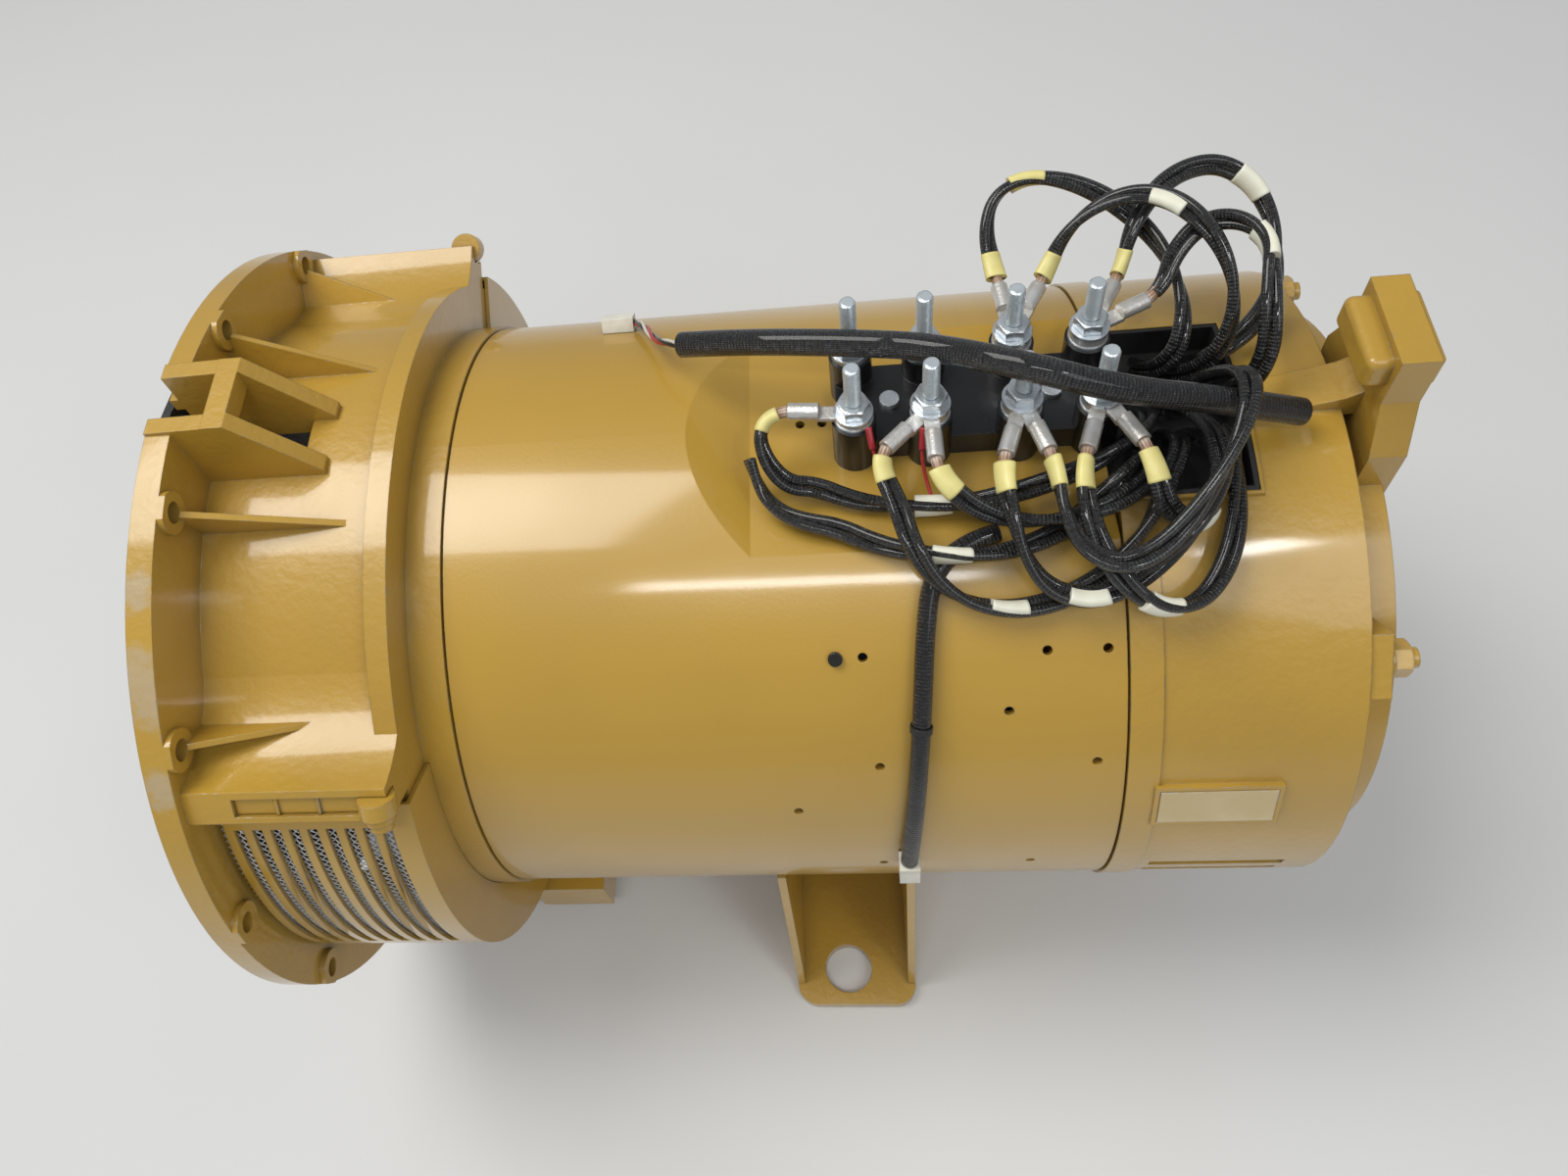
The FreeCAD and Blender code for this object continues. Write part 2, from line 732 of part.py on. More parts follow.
def drive_end_housing():
    flange = ring(0, flange_thickness, flange_bore_radius, flange_radius)
    spigot = ring(-spigot_length, bite, spigot_radius - spigot_wall, spigot_radius)
    end_ring = ring(end_ring_start, saddle_end, end_ring_bore_radius, end_ring_radius)
    neck = ring(saddle_end - bite, housing_end, neck_bore_radius, neck_radius)
    register = ring(housing_end - 2 * bite, housing_end + register_length, register_bore_radius,
                    barrel_inner - spigot_clearance)
    top_ring = sector(end_ring_start, saddle_end, end_ring_bore_radius, saddle_radius, wing_low, 180 - wing_low)
    solids = [flange, spigot, end_ring, neck, register, top_ring, saddle()]
    solids += flange_bosses() + saddle_ribs() + lifting_loop() + struts() + side_lugs()
    body = fuse_all(solids)
    inner = loop_half_width - loop_plate
    notch = box(-spigot_length - overrun, flange_thickness + overrun, -inner, inner,
                loop_notch_radius, loop_height + overrun)
    notch = notch.cut(box(loop_front_run - loop_bar_depth, loop_front_run, -inner, inner,
                          loop_height - loop_bar_height, loop_height))
    window = box(flange_thickness, loop_window_end, -inner, inner, loop_window_bottom,
                 loop_height - loop_bar_height)
    tools = flange_holes() + [notch, window]
    for angle in (wing_slot_angle, 180 - wing_slot_angle):
        tools.append(radial_box(wing_slot_start, wing_slot_end + overrun, wing_radius - wing_slot_depth,
                                wing_radius + overrun, wing_slot_width, angle))
    for centre, tangent in latch_frames():
        start = centre - tangent * (wing_slot_width / 2)
        depth = wing_slot_width + latch_reach
        tools.append(Part.makeCylinder(latch_radius + part_gap, depth, start, tangent))
    for angle in rod_angles:
        centre = polar(angle, rod_circle)
        tools.append(rod(end_ring_start - overrun, saddle_end + overrun, rod_radius, centre.y, centre.z))
    # The outer skin of the end ring sits inside the cover away from the wings
    skirt = sector(saddle_end, saddle_end + lug_length + overrun, neck_radius, wing_radius + overrun,
                   cover_low_angle - 2 * cover_half_arc, cover_low_angle)
    tools.append(skirt.cut(fuse_all(side_lugs())))
    return body.cut(Part.makeCompound(tools)).removeSplitter()


def lug_room():
    """Space that the cover and the mesh leave for the side lugs."""
    rooms = []
    for lug in side_lugs():
        b = lug.BoundBox
        rooms.append(box(b.XMin, b.XMax, b.YMin - part_gap, b.YMax + part_gap,
                         -cover_radius - overrun, b.ZMax + part_gap))
    return rooms


def louvre_slots():
    cuts = []
    for i in range(slot_count):
        x0 = slot_first + slot_pitch * i - slot_width / 2
        for j in range(slot_sectors):
            high = cover_low_angle - slot_first_angle - slot_sector * j
            cuts.append(sector(x0, x0 + slot_width, cover_inner - overrun, cover_radius + overrun,
                               high - slot_arc, high))
    return cuts


def louvre_cover():
    """Slatted lower cover with its end plate."""
    high = cover_low_angle - cover_clearance
    low = high - 2 * cover_half_arc + 2 * cover_clearance
    shell = sector(cover_start, cover_end, cover_inner, cover_radius, low, high)
    plate = sector(saddle_end + seat_gap, cover_end, neck_radius + part_gap, cover_radius, low, high)
    cover = shell.fuse(plate)
    return cover.cut(Part.makeCompound(louvre_slots() + lug_room())).removeSplitter()


def edge_strips():
    strips = []
    bottom = wing_radius - wing_slot_depth + seat_gap
    for angle in (wing_slot_angle, 180 - wing_slot_angle):
        x1 = wing_slot_start + part_gap + edge_strip_length
        width = wing_slot_width - 2 * side_play
        top = bottom + edge_strip_thickness
        strip = radial_box(wing_slot_start + part_gap, x1, bottom, top, width, angle)
        marks = []
        for share in (1, 2):
            x = wing_slot_start + edge_strip_length * share / 3
            marks.append(radial_box(x, x + strip_mark_width, bottom, top + strip_mark_height, width, angle))
        strips.append(strip.multiFuse(marks))
    return Part.makeCompound(strips)


def latch_frames():
    """Centre and tangent of each latch at the end of a wing slot."""
    frames = []
    for angle, side in ((wing_slot_angle, 1), (180 - wing_slot_angle, -1)):
        a = math.radians(angle)
        centre = polar(angle, wing_radius - wing_slot_depth + seat_gap + latch_radius, latch_x)
        tangent = Vector(0, -math.sin(a) * side, -math.cos(a) * side)
        frames.append((centre, tangent))
    return frames


def cover_latches():
    """Barrel clamps with their screws, at the ends of the cover's edge strips."""
    pieces = latch_screws()
    for centre, tangent in latch_frames():
        half = wing_slot_width / 2 - side_play
        barrel = Part.makeCylinder(latch_radius, 2 * half, centre - tangent * half, tangent)
        start = centre + tangent * (half - bite)
        nose = Part.makeCylinder(latch_nose_radius, latch_reach - half + bite, start, tangent)
        pieces.append(barrel.fuse(nose))
    return Part.makeCompound(pieces)


def latch_screws():
    screws = []
    for centre, tangent in latch_frames():
        start = centre + tangent * (latch_reach + seat_gap)
        head = Part.makeCylinder(latch_screw_radius, latch_screw_head, start, tangent)
        floor = start + tangent * latch_socket_floor
        socket = Part.makeCylinder(latch_socket_radius, latch_screw_head, floor, tangent)
        screws.append(head.cut(socket))
    return screws


def louvre_mesh():
    high = cover_low_angle - mesh_edge_angle
    low = high - 2 * (cover_half_arc - mesh_edge_angle)
    skin = sector(mesh_start, saddle_end - seat_gap, mesh_outer - mesh_thickness, mesh_outer, low, high)
    return skin.cut(Part.makeCompound(lug_room()))


def flat_tool(height, grow):
    """Space above the barrel's flat, with the slope that leads down to it."""
    top = barrel_radius + barrel_wall
    outline = [
        (flat_slope_start - grow, barrel_radius + grow),
        (flat_start - grow / 2, height),
        (rear_start, height),
        (rear_start, top),
        (flat_slope_start - grow, top),
    ]
    return prism_y(outline, -barrel_radius, barrel_radius)


def barrel_holes():
    """Terminal box fixing holes: angle about the shaft, and distance from the flange."""
    depth = 3 * barrel_wall
    holes = []
    for angle, x in box_hole_places:
        start = polar(angle, barrel_radius - 2 * barrel_wall, x)
        holes.append(Part.makeCylinder(box_hole_radius, depth, start, polar(angle, 1)))
    for x in flat_hole_places:
        start = Vector(x, block_centre_y, flat_height - 2 * barrel_wall)
        holes.append(Part.makeCylinder(box_hole_radius, depth, start))
    return holes


def block_screw_places():
    centre = block_centre_y
    return [((post_xs[0] + post_xs[1]) / 2, centre), ((post_xs[2] + post_xs[3]) / 2, centre)]


def stator_barrel():
    outer = rod(barrel_start, barrel_end, barrel_radius).cut(flat_tool(flat_height, 0))
    inner = rod(barrel_start - overrun, barrel_end + overrun, barrel_inner).cut(flat_tool(flat_inner, barrel_wall))
    tools = barrel_holes()
    for x, y in block_screw_places():
        start = Vector(x, y, flat_height - 2 * barrel_wall)
        tools.append(Part.makeCylinder(block_screw_radius + seat_gap, 3 * barrel_wall, start))
    return outer.cut(inner).cut(Part.makeCompound(tools))


def stator_bars():
    bars = []
    skin = rod(core_start, core_end, barrel_inner - seat_gap)
    hollow = rod(core_start - overrun, core_end + overrun, core_radius + seat_gap)
    for angle in bar_angles:
        bar = radial_box(core_start, core_end, core_radius - bite, barrel_inner + bite, bar_width, angle)
        bars.append(bar.common(skin).cut(hollow))
    return Part.makeCompound(bars)


def stator_core():
    core = ring(core_start, core_end, core_bore_radius, core_radius)
    slots = []
    for angle in around(core_slot_count):
        slots.append(radial_box(core_start - overrun, core_end + overrun, core_bore_radius - 2 * overrun,
                                core_bore_radius + core_slot_depth, core_slot_width, angle))
    return core.cut(Part.makeCompound(slots))


def winding(x0, x1):
    """End winding, a rounded ring beside the core."""
    solid = ring(x0, x1, winding_inner_radius, winding_outer_radius)
    return solid.makeFillet((winding_outer_radius - winding_inner_radius) / 4, solid.Edges)


def foot(side):
    """Mounting foot: a horizontal plate on two webs that reach up to the barrel."""
    x0 = foot_centre - foot_length / 2
    x1 = foot_centre + foot_length / 2
    bottom = -shaft_height
    inner, outer = sorted((side * foot_inner, side * foot_outer))
    plate = box(x0, x1, inner, outer, bottom, bottom + foot_plate)
    rounded = [e for e in plate.Edges if abs(e.Length - foot_plate) < 0.01
               and abs(e.CenterOfMass.y - side * foot_outer) < 0.01]
    plate = plate.makeFillet(foot_corner_radius, rounded)
    level = bottom + foot_plate - bite
    reach = [
        (side * foot_inner, level),
        (side * (foot_outer - foot_corner_radius), level),
        (side * foot_web_tip_radius, foot_web_top),
        (side * foot_inner, foot_web_top),
    ]
    webs = [prism_x(reach, x, x + foot_web) for x in (x0, x1 - foot_web)]
    back = side * foot_inner
    wall = box(x0, x1, *sorted((back, back + side * foot_web)), level, foot_wall_top)
    hole = Part.makeCylinder(foot_hole_diameter / 2, foot_plate + 2 * overrun,
                             Vector(foot_hole_x, side * foot_hole_spacing / 2, bottom - overrun))
    body = plate.multiFuse(webs + [wall])
    return body.cut(rod(x0 - overrun, x1 + overrun, barrel_radius + seat_gap)).cut(hole)


def inlet_slots():
    cuts = []
    step = (inlet_last_angle - inlet_first_angle) / (inlet_slot_count // 2 - 1)
    for i in range(inlet_slot_count // 2):
        below = inlet_first_angle + step * i
        for angle in (-below, 180 + below):
            cuts.append(radial_box(inlet_slot_start, inlet_slot_end, shell_inner - 2 * overrun,
                                   barrel_radius + rear_step + overrun, inlet_slot_width, angle))
    return cuts


def lifting_horn():
    x1 = horn_front + horn_thickness
    shoulder = horn_head_bottom - horn_shoulder_drop
    plate_outline = [
        (-horn_base_half_width, horn_base_height),
        (-horn_base_half_width, shoulder),
        (-horn_head_half_width, horn_head_bottom),
        (-horn_head_half_width, horn_top),
        (horn_head_half_width, horn_top),
        (horn_head_half_width, horn_head_bottom),
        (horn_base_half_width, shoulder),
        (horn_base_half_width, horn_base_height),
    ]
    plate = prism_x(plate_outline, horn_front, x1)
    front_pad = box(horn_front - horn_pad_front, horn_front + bite, -horn_pad_half_width, horn_pad_half_width,
                    horn_pad_bottom, horn_pad_top)
    front_edges = [e for e in front_pad.Edges if e.CenterOfMass.x < horn_front - horn_pad_front / 3]
    front_pad = front_pad.makeFillet(horn_pad_front_corner, front_edges)
    rear_pad = box(x1 - bite, x1 + horn_pad_rear, -horn_pad_half_width, horn_pad_half_width,
                   horn_pad_bottom, horn_pad_top)
    rear_edges = [e for e in rear_pad.Edges if e.CenterOfMass.x > x1 + horn_pad_rear / 3]
    rear_pad = rear_pad.makeFillet(horn_pad_rear_corner, rear_edges)
    root = shell_inner + bite
    rib = prism_y([(horn_front + bite, horn_rib_height + horn_rib_slope_rise),
                   (horn_front - horn_rib_slope_run, horn_rib_height),
                   (horn_rib_start, barrel_radius - bite), (horn_rib_start, root),
                   (horn_front + bite, root)],
                  -horn_rib_half_width, horn_rib_half_width)
    return [plate, front_pad, rear_pad, rib]


def exit_opening(grow, z0, z1):
    """Room of the lead outlet, which is open towards the barrel."""
    half = exit_half_width + grow
    return box(barrel_end - register_length, exit_end + grow, -half, half, z0, z1)


def rear_housing():
    step = ring(rear_start, rear_step_end, shell_inner, barrel_radius + rear_step)
    shell = ring(rear_start, rear_end, shell_inner, barrel_radius)
    wall = ring(rear_end - rear_wall_thickness, rear_end, rear_wall_bore_radius, shell_inner + bite)
    band = ring(rear_end - bite, rear_band_end, rear_band_radius - rear_band_wall, rear_band_radius)
    plate = ring(rear_band_end - rear_end_plate, rear_band_end, rear_plate_bore_radius, rear_band_radius - bite)
    hub = ring(bearing_start - rear_hub_lead, rear_band_end, bearing_outer_radius, rear_hub_radius)
    register = ring(rear_start - register_length, rear_start + 2 * bite, register_bore_radius,
                    barrel_inner - spigot_clearance)
    register = register.cut(box(rear_start - register_length - overrun, rear_start, -barrel_radius, barrel_radius,
                                flat_inner - side_play, barrel_radius))
    solids = [step, shell, wall, band, plate, hub, register] + lifting_horn()
    for angle in rod_angles:
        solids.append(radial_box(rear_end - bite, rear_end + ear_thickness, ear_inner, ear_outer, ear_width, angle))
    for angle in around(pillar_count, 0.0):
        centre = polar(angle, pillar_circle)
        x1 = rear_end - rear_wall_thickness + bite
        solids.append(rod(exciter_end + seat_gap, x1, pillar_radius, centre.y, centre.z))
    pad = radial_box(pad_start, pad_end, shell_inner + bite, barrel_radius + pad_height, pad_width, pad_angle)
    solids.append(pad)
    rim_radius = barrel_radius + exit_rim_height
    rim = exit_opening(exit_rim_width, exit_floor_height, rim_radius).common(rod(rear_start, rear_end, rim_radius))
    solids.append(rim.cut(rod(rear_start, rear_end, shell_inner)))
    body = fuse_all(solids)
    tools = inlet_slots()
    tools.append(exit_opening(0, exit_floor_height - seat_gap, barrel_radius + exit_room))
    for angle in rod_angles:
        centre = polar(angle, rod_circle)
        x1 = rear_end + ear_thickness + overrun
        x0 = rear_end - rear_wall_thickness - overrun
        tools.append(rod(x0, x1, rod_radius + seat_gap, centre.y, centre.z))
    for angle in around(cap_screw_count, 30.0):
        centre = polar(angle, cap_screw_circle)
        x0 = rear_band_end - cap_screw_reach - overrun
        tools.append(rod(x0, rear_band_end + overrun, cap_screw_radius, centre.y, centre.z))
    top = barrel_radius + pad_height
    recess = radial_box(pad_start + plate_margin, pad_end - plate_margin, top - plate_thickness / 2,
                        top + overrun, pad_width - 2 * plate_margin, pad_angle)
    tools.append(recess)
    tools.append(rod(bearing_start, rear_band_end + overrun, bearing_outer_radius))
    return body.cut(Part.makeCompound(tools)).removeSplitter()


def data_plate():
    """Bare plate on the pad of the rear housing."""
    bottom = barrel_radius + pad_height - plate_thickness / 2 + touch_gap
    return radial_box(pad_start + plate_margin + part_gap, pad_end - plate_margin - part_gap, bottom,
                      bottom + plate_thickness, pad_width - 2 * plate_margin - 2 * part_gap, pad_angle)


def exit_liner():
    """Edge trim that guards the leads where they leave the rear housing."""
    top = barrel_radius + exit_liner_stand
    outer = exit_opening(-seat_gap, exit_floor_height, top + overrun)
    inner = exit_opening(-exit_liner_wall, exit_floor_height + exit_liner_wall, top + 2 * overrun)
    return outer.cut(inner).common(rod(rear_start + part_gap, exit_end + overrun, top))


def tie_rods():
    solids = []
    for angle in rod_angles:
        centre = polar(angle, rod_circle)
        solids.append(rod(rod_start, rod_end, rod_radius, centre.y, centre.z))
    return Part.makeCompound(solids)


def tie_rod_nuts():
    """Nuts with their washers on the ears of the rear housing."""
    solids = []
    washer_face = rear_end + ear_thickness + touch_gap
    nut_face = washer_face + washer_thickness + touch_gap
    for angle in rod_angles:
        centre = polar(angle, rod_circle)
        washer = rod(washer_face, washer_face + washer_thickness, washer_radius, centre.y, centre.z)
        nut = hexagon(nut_across_flats, nut_height, Vector(nut_face, centre.y, centre.z), axis_x)
        hole = rod(washer_face - overrun, nut_face + nut_height + overrun, rod_radius + fit_gap, centre.y, centre.z)
        solids += [washer.cut(hole), nut.cut(hole)]
    return Part.makeCompound(solids)


def bearing_cap():
    cap = rod(rear_band_end + touch_gap, rear_band_end + cap_thickness, cap_radius)
    rim = [e for e in cap.Edges if e.CenterOfMass.x > rear_band_end + cap_thickness / 2 and len(e.Vertexes) == 1]
    cap = cap.makeFillet(cap_corner, rim)
    holes = []
    for angle in around(cap_screw_count, 30.0):
        centre = polar(angle, cap_screw_circle)
        x1 = rear_band_end + cap_thickness + overrun
        holes.append(rod(rear_band_end - overrun, x1, cap_screw_radius + seat_gap, centre.y, centre.z))
    return cap.cut(Part.makeCompound(holes))


def cap_screws():
    solids = []
    face = rear_band_end + cap_thickness + touch_gap
    for angle in around(cap_screw_count, 30.0):
        centre = polar(angle, cap_screw_circle)
        head = hexagon(cap_screw_flats, cap_screw_head, Vector(face, centre.y, centre.z), axis_x)
        x0 = rear_band_end - cap_screw_reach
        solids.append(head.fuse(rod(x0, face + bite, cap_screw_radius - touch_gap, centre.y, centre.z)))
    return Part.makeCompound(solids)


def groove():
    """Ball track shared by both races."""
    middle = bearing_start + bearing_width / 2
    tube = Part.makeTorus(ball_circle, ball_radius + part_gap, Vector(middle, 0, 0), axis_x)
    return tube


def bearing_outer_ring():
    inner = bearing_outer_radius - race_shoulder
    return ring(bearing_start, bearing_end, inner, bearing_outer_radius - touch_gap).cut(groove())


def bearing_inner_ring():
    outer = shaft_bearing_radius + race_shoulder
    return ring(bearing_start, bearing_end, shaft_bearing_radius + touch_gap, outer).cut(groove())


def bearing_balls():
    middle = bearing_start + bearing_width / 2
    balls = []
    for angle in around(ball_count):
        balls.append(Part.makeSphere(ball_radius, polar(angle, ball_circle, middle)))
    return Part.makeCompound(balls)


def bearing_cage():
    middle = bearing_start + bearing_width / 2
    half = ball_radius + cage_margin
    cage = ring(middle - half, middle + half, ball_circle - cage_half_thickness, ball_circle + cage_half_thickness)
    pockets = [Part.makeSphere(ball_radius + fit_gap, polar(a, ball_circle, middle)) for a in around(ball_count)]
    return cage.cut(Part.makeCompound(pockets))


def exciter_stator():
    body = ring(exciter_start, exciter_end, exciter_bore_radius, exciter_outer_radius)
    slots = []
    for angle in around(exciter_pole_count, 22.5):
        slots.append(radial_box(exciter_start - overrun, exciter_end + overrun, exciter_bore_radius - 3 * overrun,
                                exciter_bore_radius + exciter_slot_depth, exciter_slot_width, angle))
    return body.cut(Part.makeCompound(slots))


def exciter_field_coils():
    coils = []
    for angle in around(exciter_pole_count, 22.5):
        coils.append(radial_box(exciter_start - exciter_coil_front, exciter_end - side_play,
                                exciter_bore_radius + exciter_coil_inset,
                                exciter_bore_radius + exciter_slot_depth - side_play, exciter_coil_width, angle))
    return Part.makeCompound(coils)


def exciter_armature():
    return ring(exciter_start + exciter_core_inset, exciter_end - exciter_core_inset,
                shaft_exciter_radius + touch_gap, exciter_armature_radius)


def exciter_winding():
    solids = []
    outer = exciter_armature_radius - exciter_winding_rim
    front = exciter_start + exciter_core_inset - seat_gap
    rear = exciter_end - exciter_core_inset + seat_gap
    for x0, x1 in ((exciter_start - exciter_winding_front, front), (rear, exciter_end + exciter_winding_rear)):
        solids.append(ring(x0, x1, outer - exciter_winding_depth, outer))
    return Part.makeCompound(solids)


def rectifier_carrier():
    return ring(carrier_start, carrier_start + carrier_thickness, shaft_exciter_radius + touch_gap, carrier_radius)


def rectifier_diodes():
    solids = []
    x0 = carrier_start + carrier_thickness + touch_gap
    for angle in around(diode_count, 30.0):
        centre = polar(angle, diode_circle)
        base = hexagon(2 * diode_radius, diode_base_height, Vector(x0, centre.y, centre.z), axis_x)
        can = rod(x0 + diode_base_height - bite, x0 + diode_length, diode_can_radius, centre.y, centre.z)
        solids.append(base.fuse(can))
    return Part.makeCompound(solids)


def shaft():
    main = rod(shaft_start, shaft_main_end, shaft_radius)
    middle = rod(shaft_main_end - bite, shaft_exciter_end, shaft_exciter_radius)
    stub = rod(shaft_exciter_end - bite, shaft_end, shaft_bearing_radius)
    keyway = box(shaft_start + key_inset, hub_end, -key_width / 2, key_width / 2,
                 shaft_radius - key_height / 2, shaft_radius + overrun)
    return main.multiFuse([middle, stub]).cut(keyway)


def hub_key():
    half = key_width / 2 - fit_gap
    return box(shaft_start + key_inset + key_room, hub_end - key_room, -half, half,
               shaft_radius - key_height / 2 + touch_gap, shaft_radius + key_height / 2)


def rotor_core():
    hub = rod(core_start, core_end, rotor_hub_radius)
    solids = [hub]
    skin = rod(core_start, core_end, rotor_radius)
    for angle in around(pole_count, 0.0):
        body = radial_box(core_start, core_end, shaft_radius, shoe_height + bite, 2 * pole_half_width, angle)
        shoe = radial_box(core_start, core_end, shoe_height, rotor_radius + bite, 2 * rotor_radius, angle)
        solids += [body, shoe.common(skin)]
    return fuse_all(solids).cut(rod(core_start - overrun, core_end + overrun, shaft_radius + touch_gap))


def rotor_coils():
    coils = []
    x0, x1 = core_start - coil_overhang, core_end + coil_overhang
    half = pole_half_width + part_gap
    low, high = rotor_hub_radius + rotor_coil_rise, shoe_height - part_gap
    for angle in around(pole_count, 0.0):
        outer = box(x0, x1, -half - coil_width, half + coil_width, low, high)
        inner = box(core_start - part_gap, core_end + part_gap, -half, half, low - overrun, high + overrun)
        coils.append(turned(outer.cut(inner), angle))
    return Part.makeCompound(coils)


def cooling_fan():
    hub = ring(fan_start, fan_end, shaft_radius + touch_gap, fan_hub_radius)
    plate = ring(fan_end - fan_plate, fan_end, fan_hub_radius - bite, fan_radius)
    solids = [hub, plate]
    for angle in around(fan_blade_count):
        blade = radial_box(fan_start + fan_blade_setback, fan_end - fan_plate + bite, fan_blade_inner,
                           fan_radius - fan_blade_inset, fan_blade_thickness, angle)
        solids.append(blade)
    return fuse_all(solids)


def drive_hub():
    flange = rod(disc_back + touch_gap, disc_back + hub_flange_thickness, hub_flange_radius)
    boss = rod(disc_back + bite, hub_end, hub_boss_radius)
    tools = [rod(disc_back - overrun, hub_end + overrun, shaft_radius + touch_gap)]
    tools.append(box(shaft_start, hub_end + overrun, -key_width / 2, key_width / 2, shaft_radius - key_height / 2,
                     shaft_radius + key_height / 2 + key_room))
    for angle in around(hub_bolt_count, 22.5):
        centre = polar(angle, hub_bolt_circle)
        x1 = disc_back + hub_flange_thickness + overrun
        tools.append(rod(disc_back - overrun, x1, hub_bolt_radius, centre.y, centre.z))
    return flange.fuse(boss).cut(Part.makeCompound(tools))


def drive_discs():
    disc = ring(disc_face, disc_back, disc_bore_radius, disc_radius)
    tools = []
    for angle in around(disc_hole_count, 22.5):
        centre = polar(angle, disc_pcd / 2)
        tools.append(rod(disc_face - overrun, disc_back + overrun, disc_hole_radius, centre.y, centre.z))
    for angle in around(hub_bolt_count, 22.5):
        centre = polar(angle, hub_bolt_circle)
        tools.append(rod(disc_face - overrun, disc_back + overrun, hub_bolt_radius, centre.y, centre.z))
    return disc.cut(Part.makeCompound(tools))


def disc_clamp_ring():
    face = disc_face - clamp_ring_thickness
    plate = ring(face, disc_face - touch_gap, clamp_ring_inner, clamp_ring_outer)
    tools = []
    for angle in around(hub_bolt_count, 22.5):
        centre = polar(angle, hub_bolt_circle)
        tools.append(rod(face - overrun, disc_face + overrun, hub_bolt_radius, centre.y, centre.z))
    return plate.cut(Part.makeCompound(tools))


def disc_bolts():
    solids = []
    face = disc_face - clamp_ring_thickness - touch_gap
    for angle in around(hub_bolt_count, 22.5):
        centre = polar(angle, hub_bolt_circle)
        head = hexagon(hub_bolt_head_flats, hub_bolt_head, Vector(face, centre.y, centre.z), -axis_x)
        x1 = disc_back + hub_flange_thickness - part_gap
        shank = rod(face - bite, x1, hub_bolt_radius - touch_gap, centre.y, centre.z)
        solids.append(head.fuse(shank))
    return Part.makeCompound(solids)


def terminal_block():
    """Moulded base with eight round posts."""
    bottom = flat_height + touch_gap
    ends = post_radius - block_base_margin
    sides = post_radius - block_base_margin - block_side_margin
    base = box(post_xs[0] - ends, post_xs[-1] + ends, row_low - sides, row_high + sides,
               bottom, bottom + block_base_height)
    posts = [Part.makeCylinder(post_radius, post_top - bottom, Vector(x, y, bottom)) for x, y in post_places]
    body = base.multiFuse(posts)
    tools = []
    for x, y in post_places:
        floor = Vector(x, y, stud_bottom - seat_gap)
        tools.append(Part.makeCylinder(stud_core_radius + touch_gap, post_top, floor))
    for x, y in block_screw_places():
        tools.append(Part.makeCylinder(block_screw_radius + seat_gap, post_top, Vector(x, y, bottom - overrun)))
    return body.cut(Part.makeCompound(tools))


def terminal_studs():
    """Studs at full thread size above their nuts, and at the thread's middle size in nut and block."""
    solids = []
    for post, (x, y) in enumerate(post_places):
        free = upper_washer_level(post) + stud_washer_thickness + touch_gap + stud_nut_height + part_gap
        held = Part.makeCylinder(stud_core_radius, free + bite - stud_bottom, Vector(x, y, stud_bottom))
        end = Part.makeCylinder(stud_radius, stud_top - free, Vector(x, y, free))
        solids.append(held.fuse(end).removeSplitter())
    return Part.makeCompound(solids)


lower_washer_level = post_top + touch_gap
lug_level = lower_washer_level + stud_washer_thickness + touch_gap


def upper_washer_level(post):
    """Height of the washer that sits on the lugs of a post, or on the lower washer."""
    lugs = len([place for place in lug_places if place[0] == post])
    return lug_level + lugs * (lug_stack + touch_gap)


def terminal_washers():
    solids = []
    for post, (x, y) in enumerate(post_places):
        for level in (lower_washer_level, upper_washer_level(post)):
            disc = Part.makeCylinder(stud_washer_radius, stud_washer_thickness, Vector(x, y, level))
            hole = Part.makeCylinder(stud_radius + fit_gap, stud_top, Vector(x, y, level - overrun))
            solids.append(disc.cut(hole))
    return Part.makeCompound(solids)


def terminal_nuts():
    solids = []
    for post, (x, y) in enumerate(post_places):
        level = upper_washer_level(post) + stud_washer_thickness + touch_gap
        nut = hexagon(stud_nut_flats, stud_nut_height, Vector(x, y, level), axis_z)
        hole = Part.makeCylinder(stud_core_radius + fit_gap, stud_top, Vector(x, y, level - overrun))
        solids.append(nut.cut(hole))
    return Part.makeCompound(solids)


def cable_lugs():
    """Crimp lugs: a ring on the stud, a neck, and a barrel that holds the lead."""
    solids = []
    for post, place, heading in lug_places:
        x, y = post_places[post]
        z = lug_level + place * (lug_stack + touch_gap)
        palm = Part.makeCylinder(lug_palm_radius, lug_stack)
        neck = box(0, lug_crimp_start + bite, -lug_width / 2, lug_width / 2, 0, lug_stack)
        rise = Vector(lug_crimp_start, 0, lug_crimp_rise)
        crimp = Part.makeCylinder(lug_crimp_radius, lug_reach - touch_gap - lug_crimp_start, rise, axis_x)
        hole = Part.makeCylinder(stud_radius + fit_gap, lug_stack + 2 * overrun, Vector(0, 0, -overrun))
        lug = palm.multiFuse([neck, crimp]).cut(hole)
        lug.Placement = FreeCAD.Placement(Vector(x, y, z), FreeCAD.Rotation(axis_z, heading))
        solids.append(lug)
    return Part.makeCompound(solids)


def corner_arcs(points):
    """The rounded corners of a route: each arc's start, middle, end and radius."""
    arcs = []
    for before, corner, after in zip(points, points[1:], points[2:]):
        back = before - corner
        ahead = after - corner
        setback = arc_share * min(back.Length, ahead.Length)
        half_turn = (math.pi - back.getAngle(ahead)) / 2
        radius = setback / math.tan(half_turn)
        start = corner + back.normalize() * setback
        end = corner + ahead.normalize() * setback
        inward = (back + ahead).normalize()
        middle = corner + inward * (math.hypot(radius, setback) - radius)
        arcs.append((start, middle, end, radius))
    return arcs


def route(name):
    return [Vector(*point) for point in cord_routes[name]]


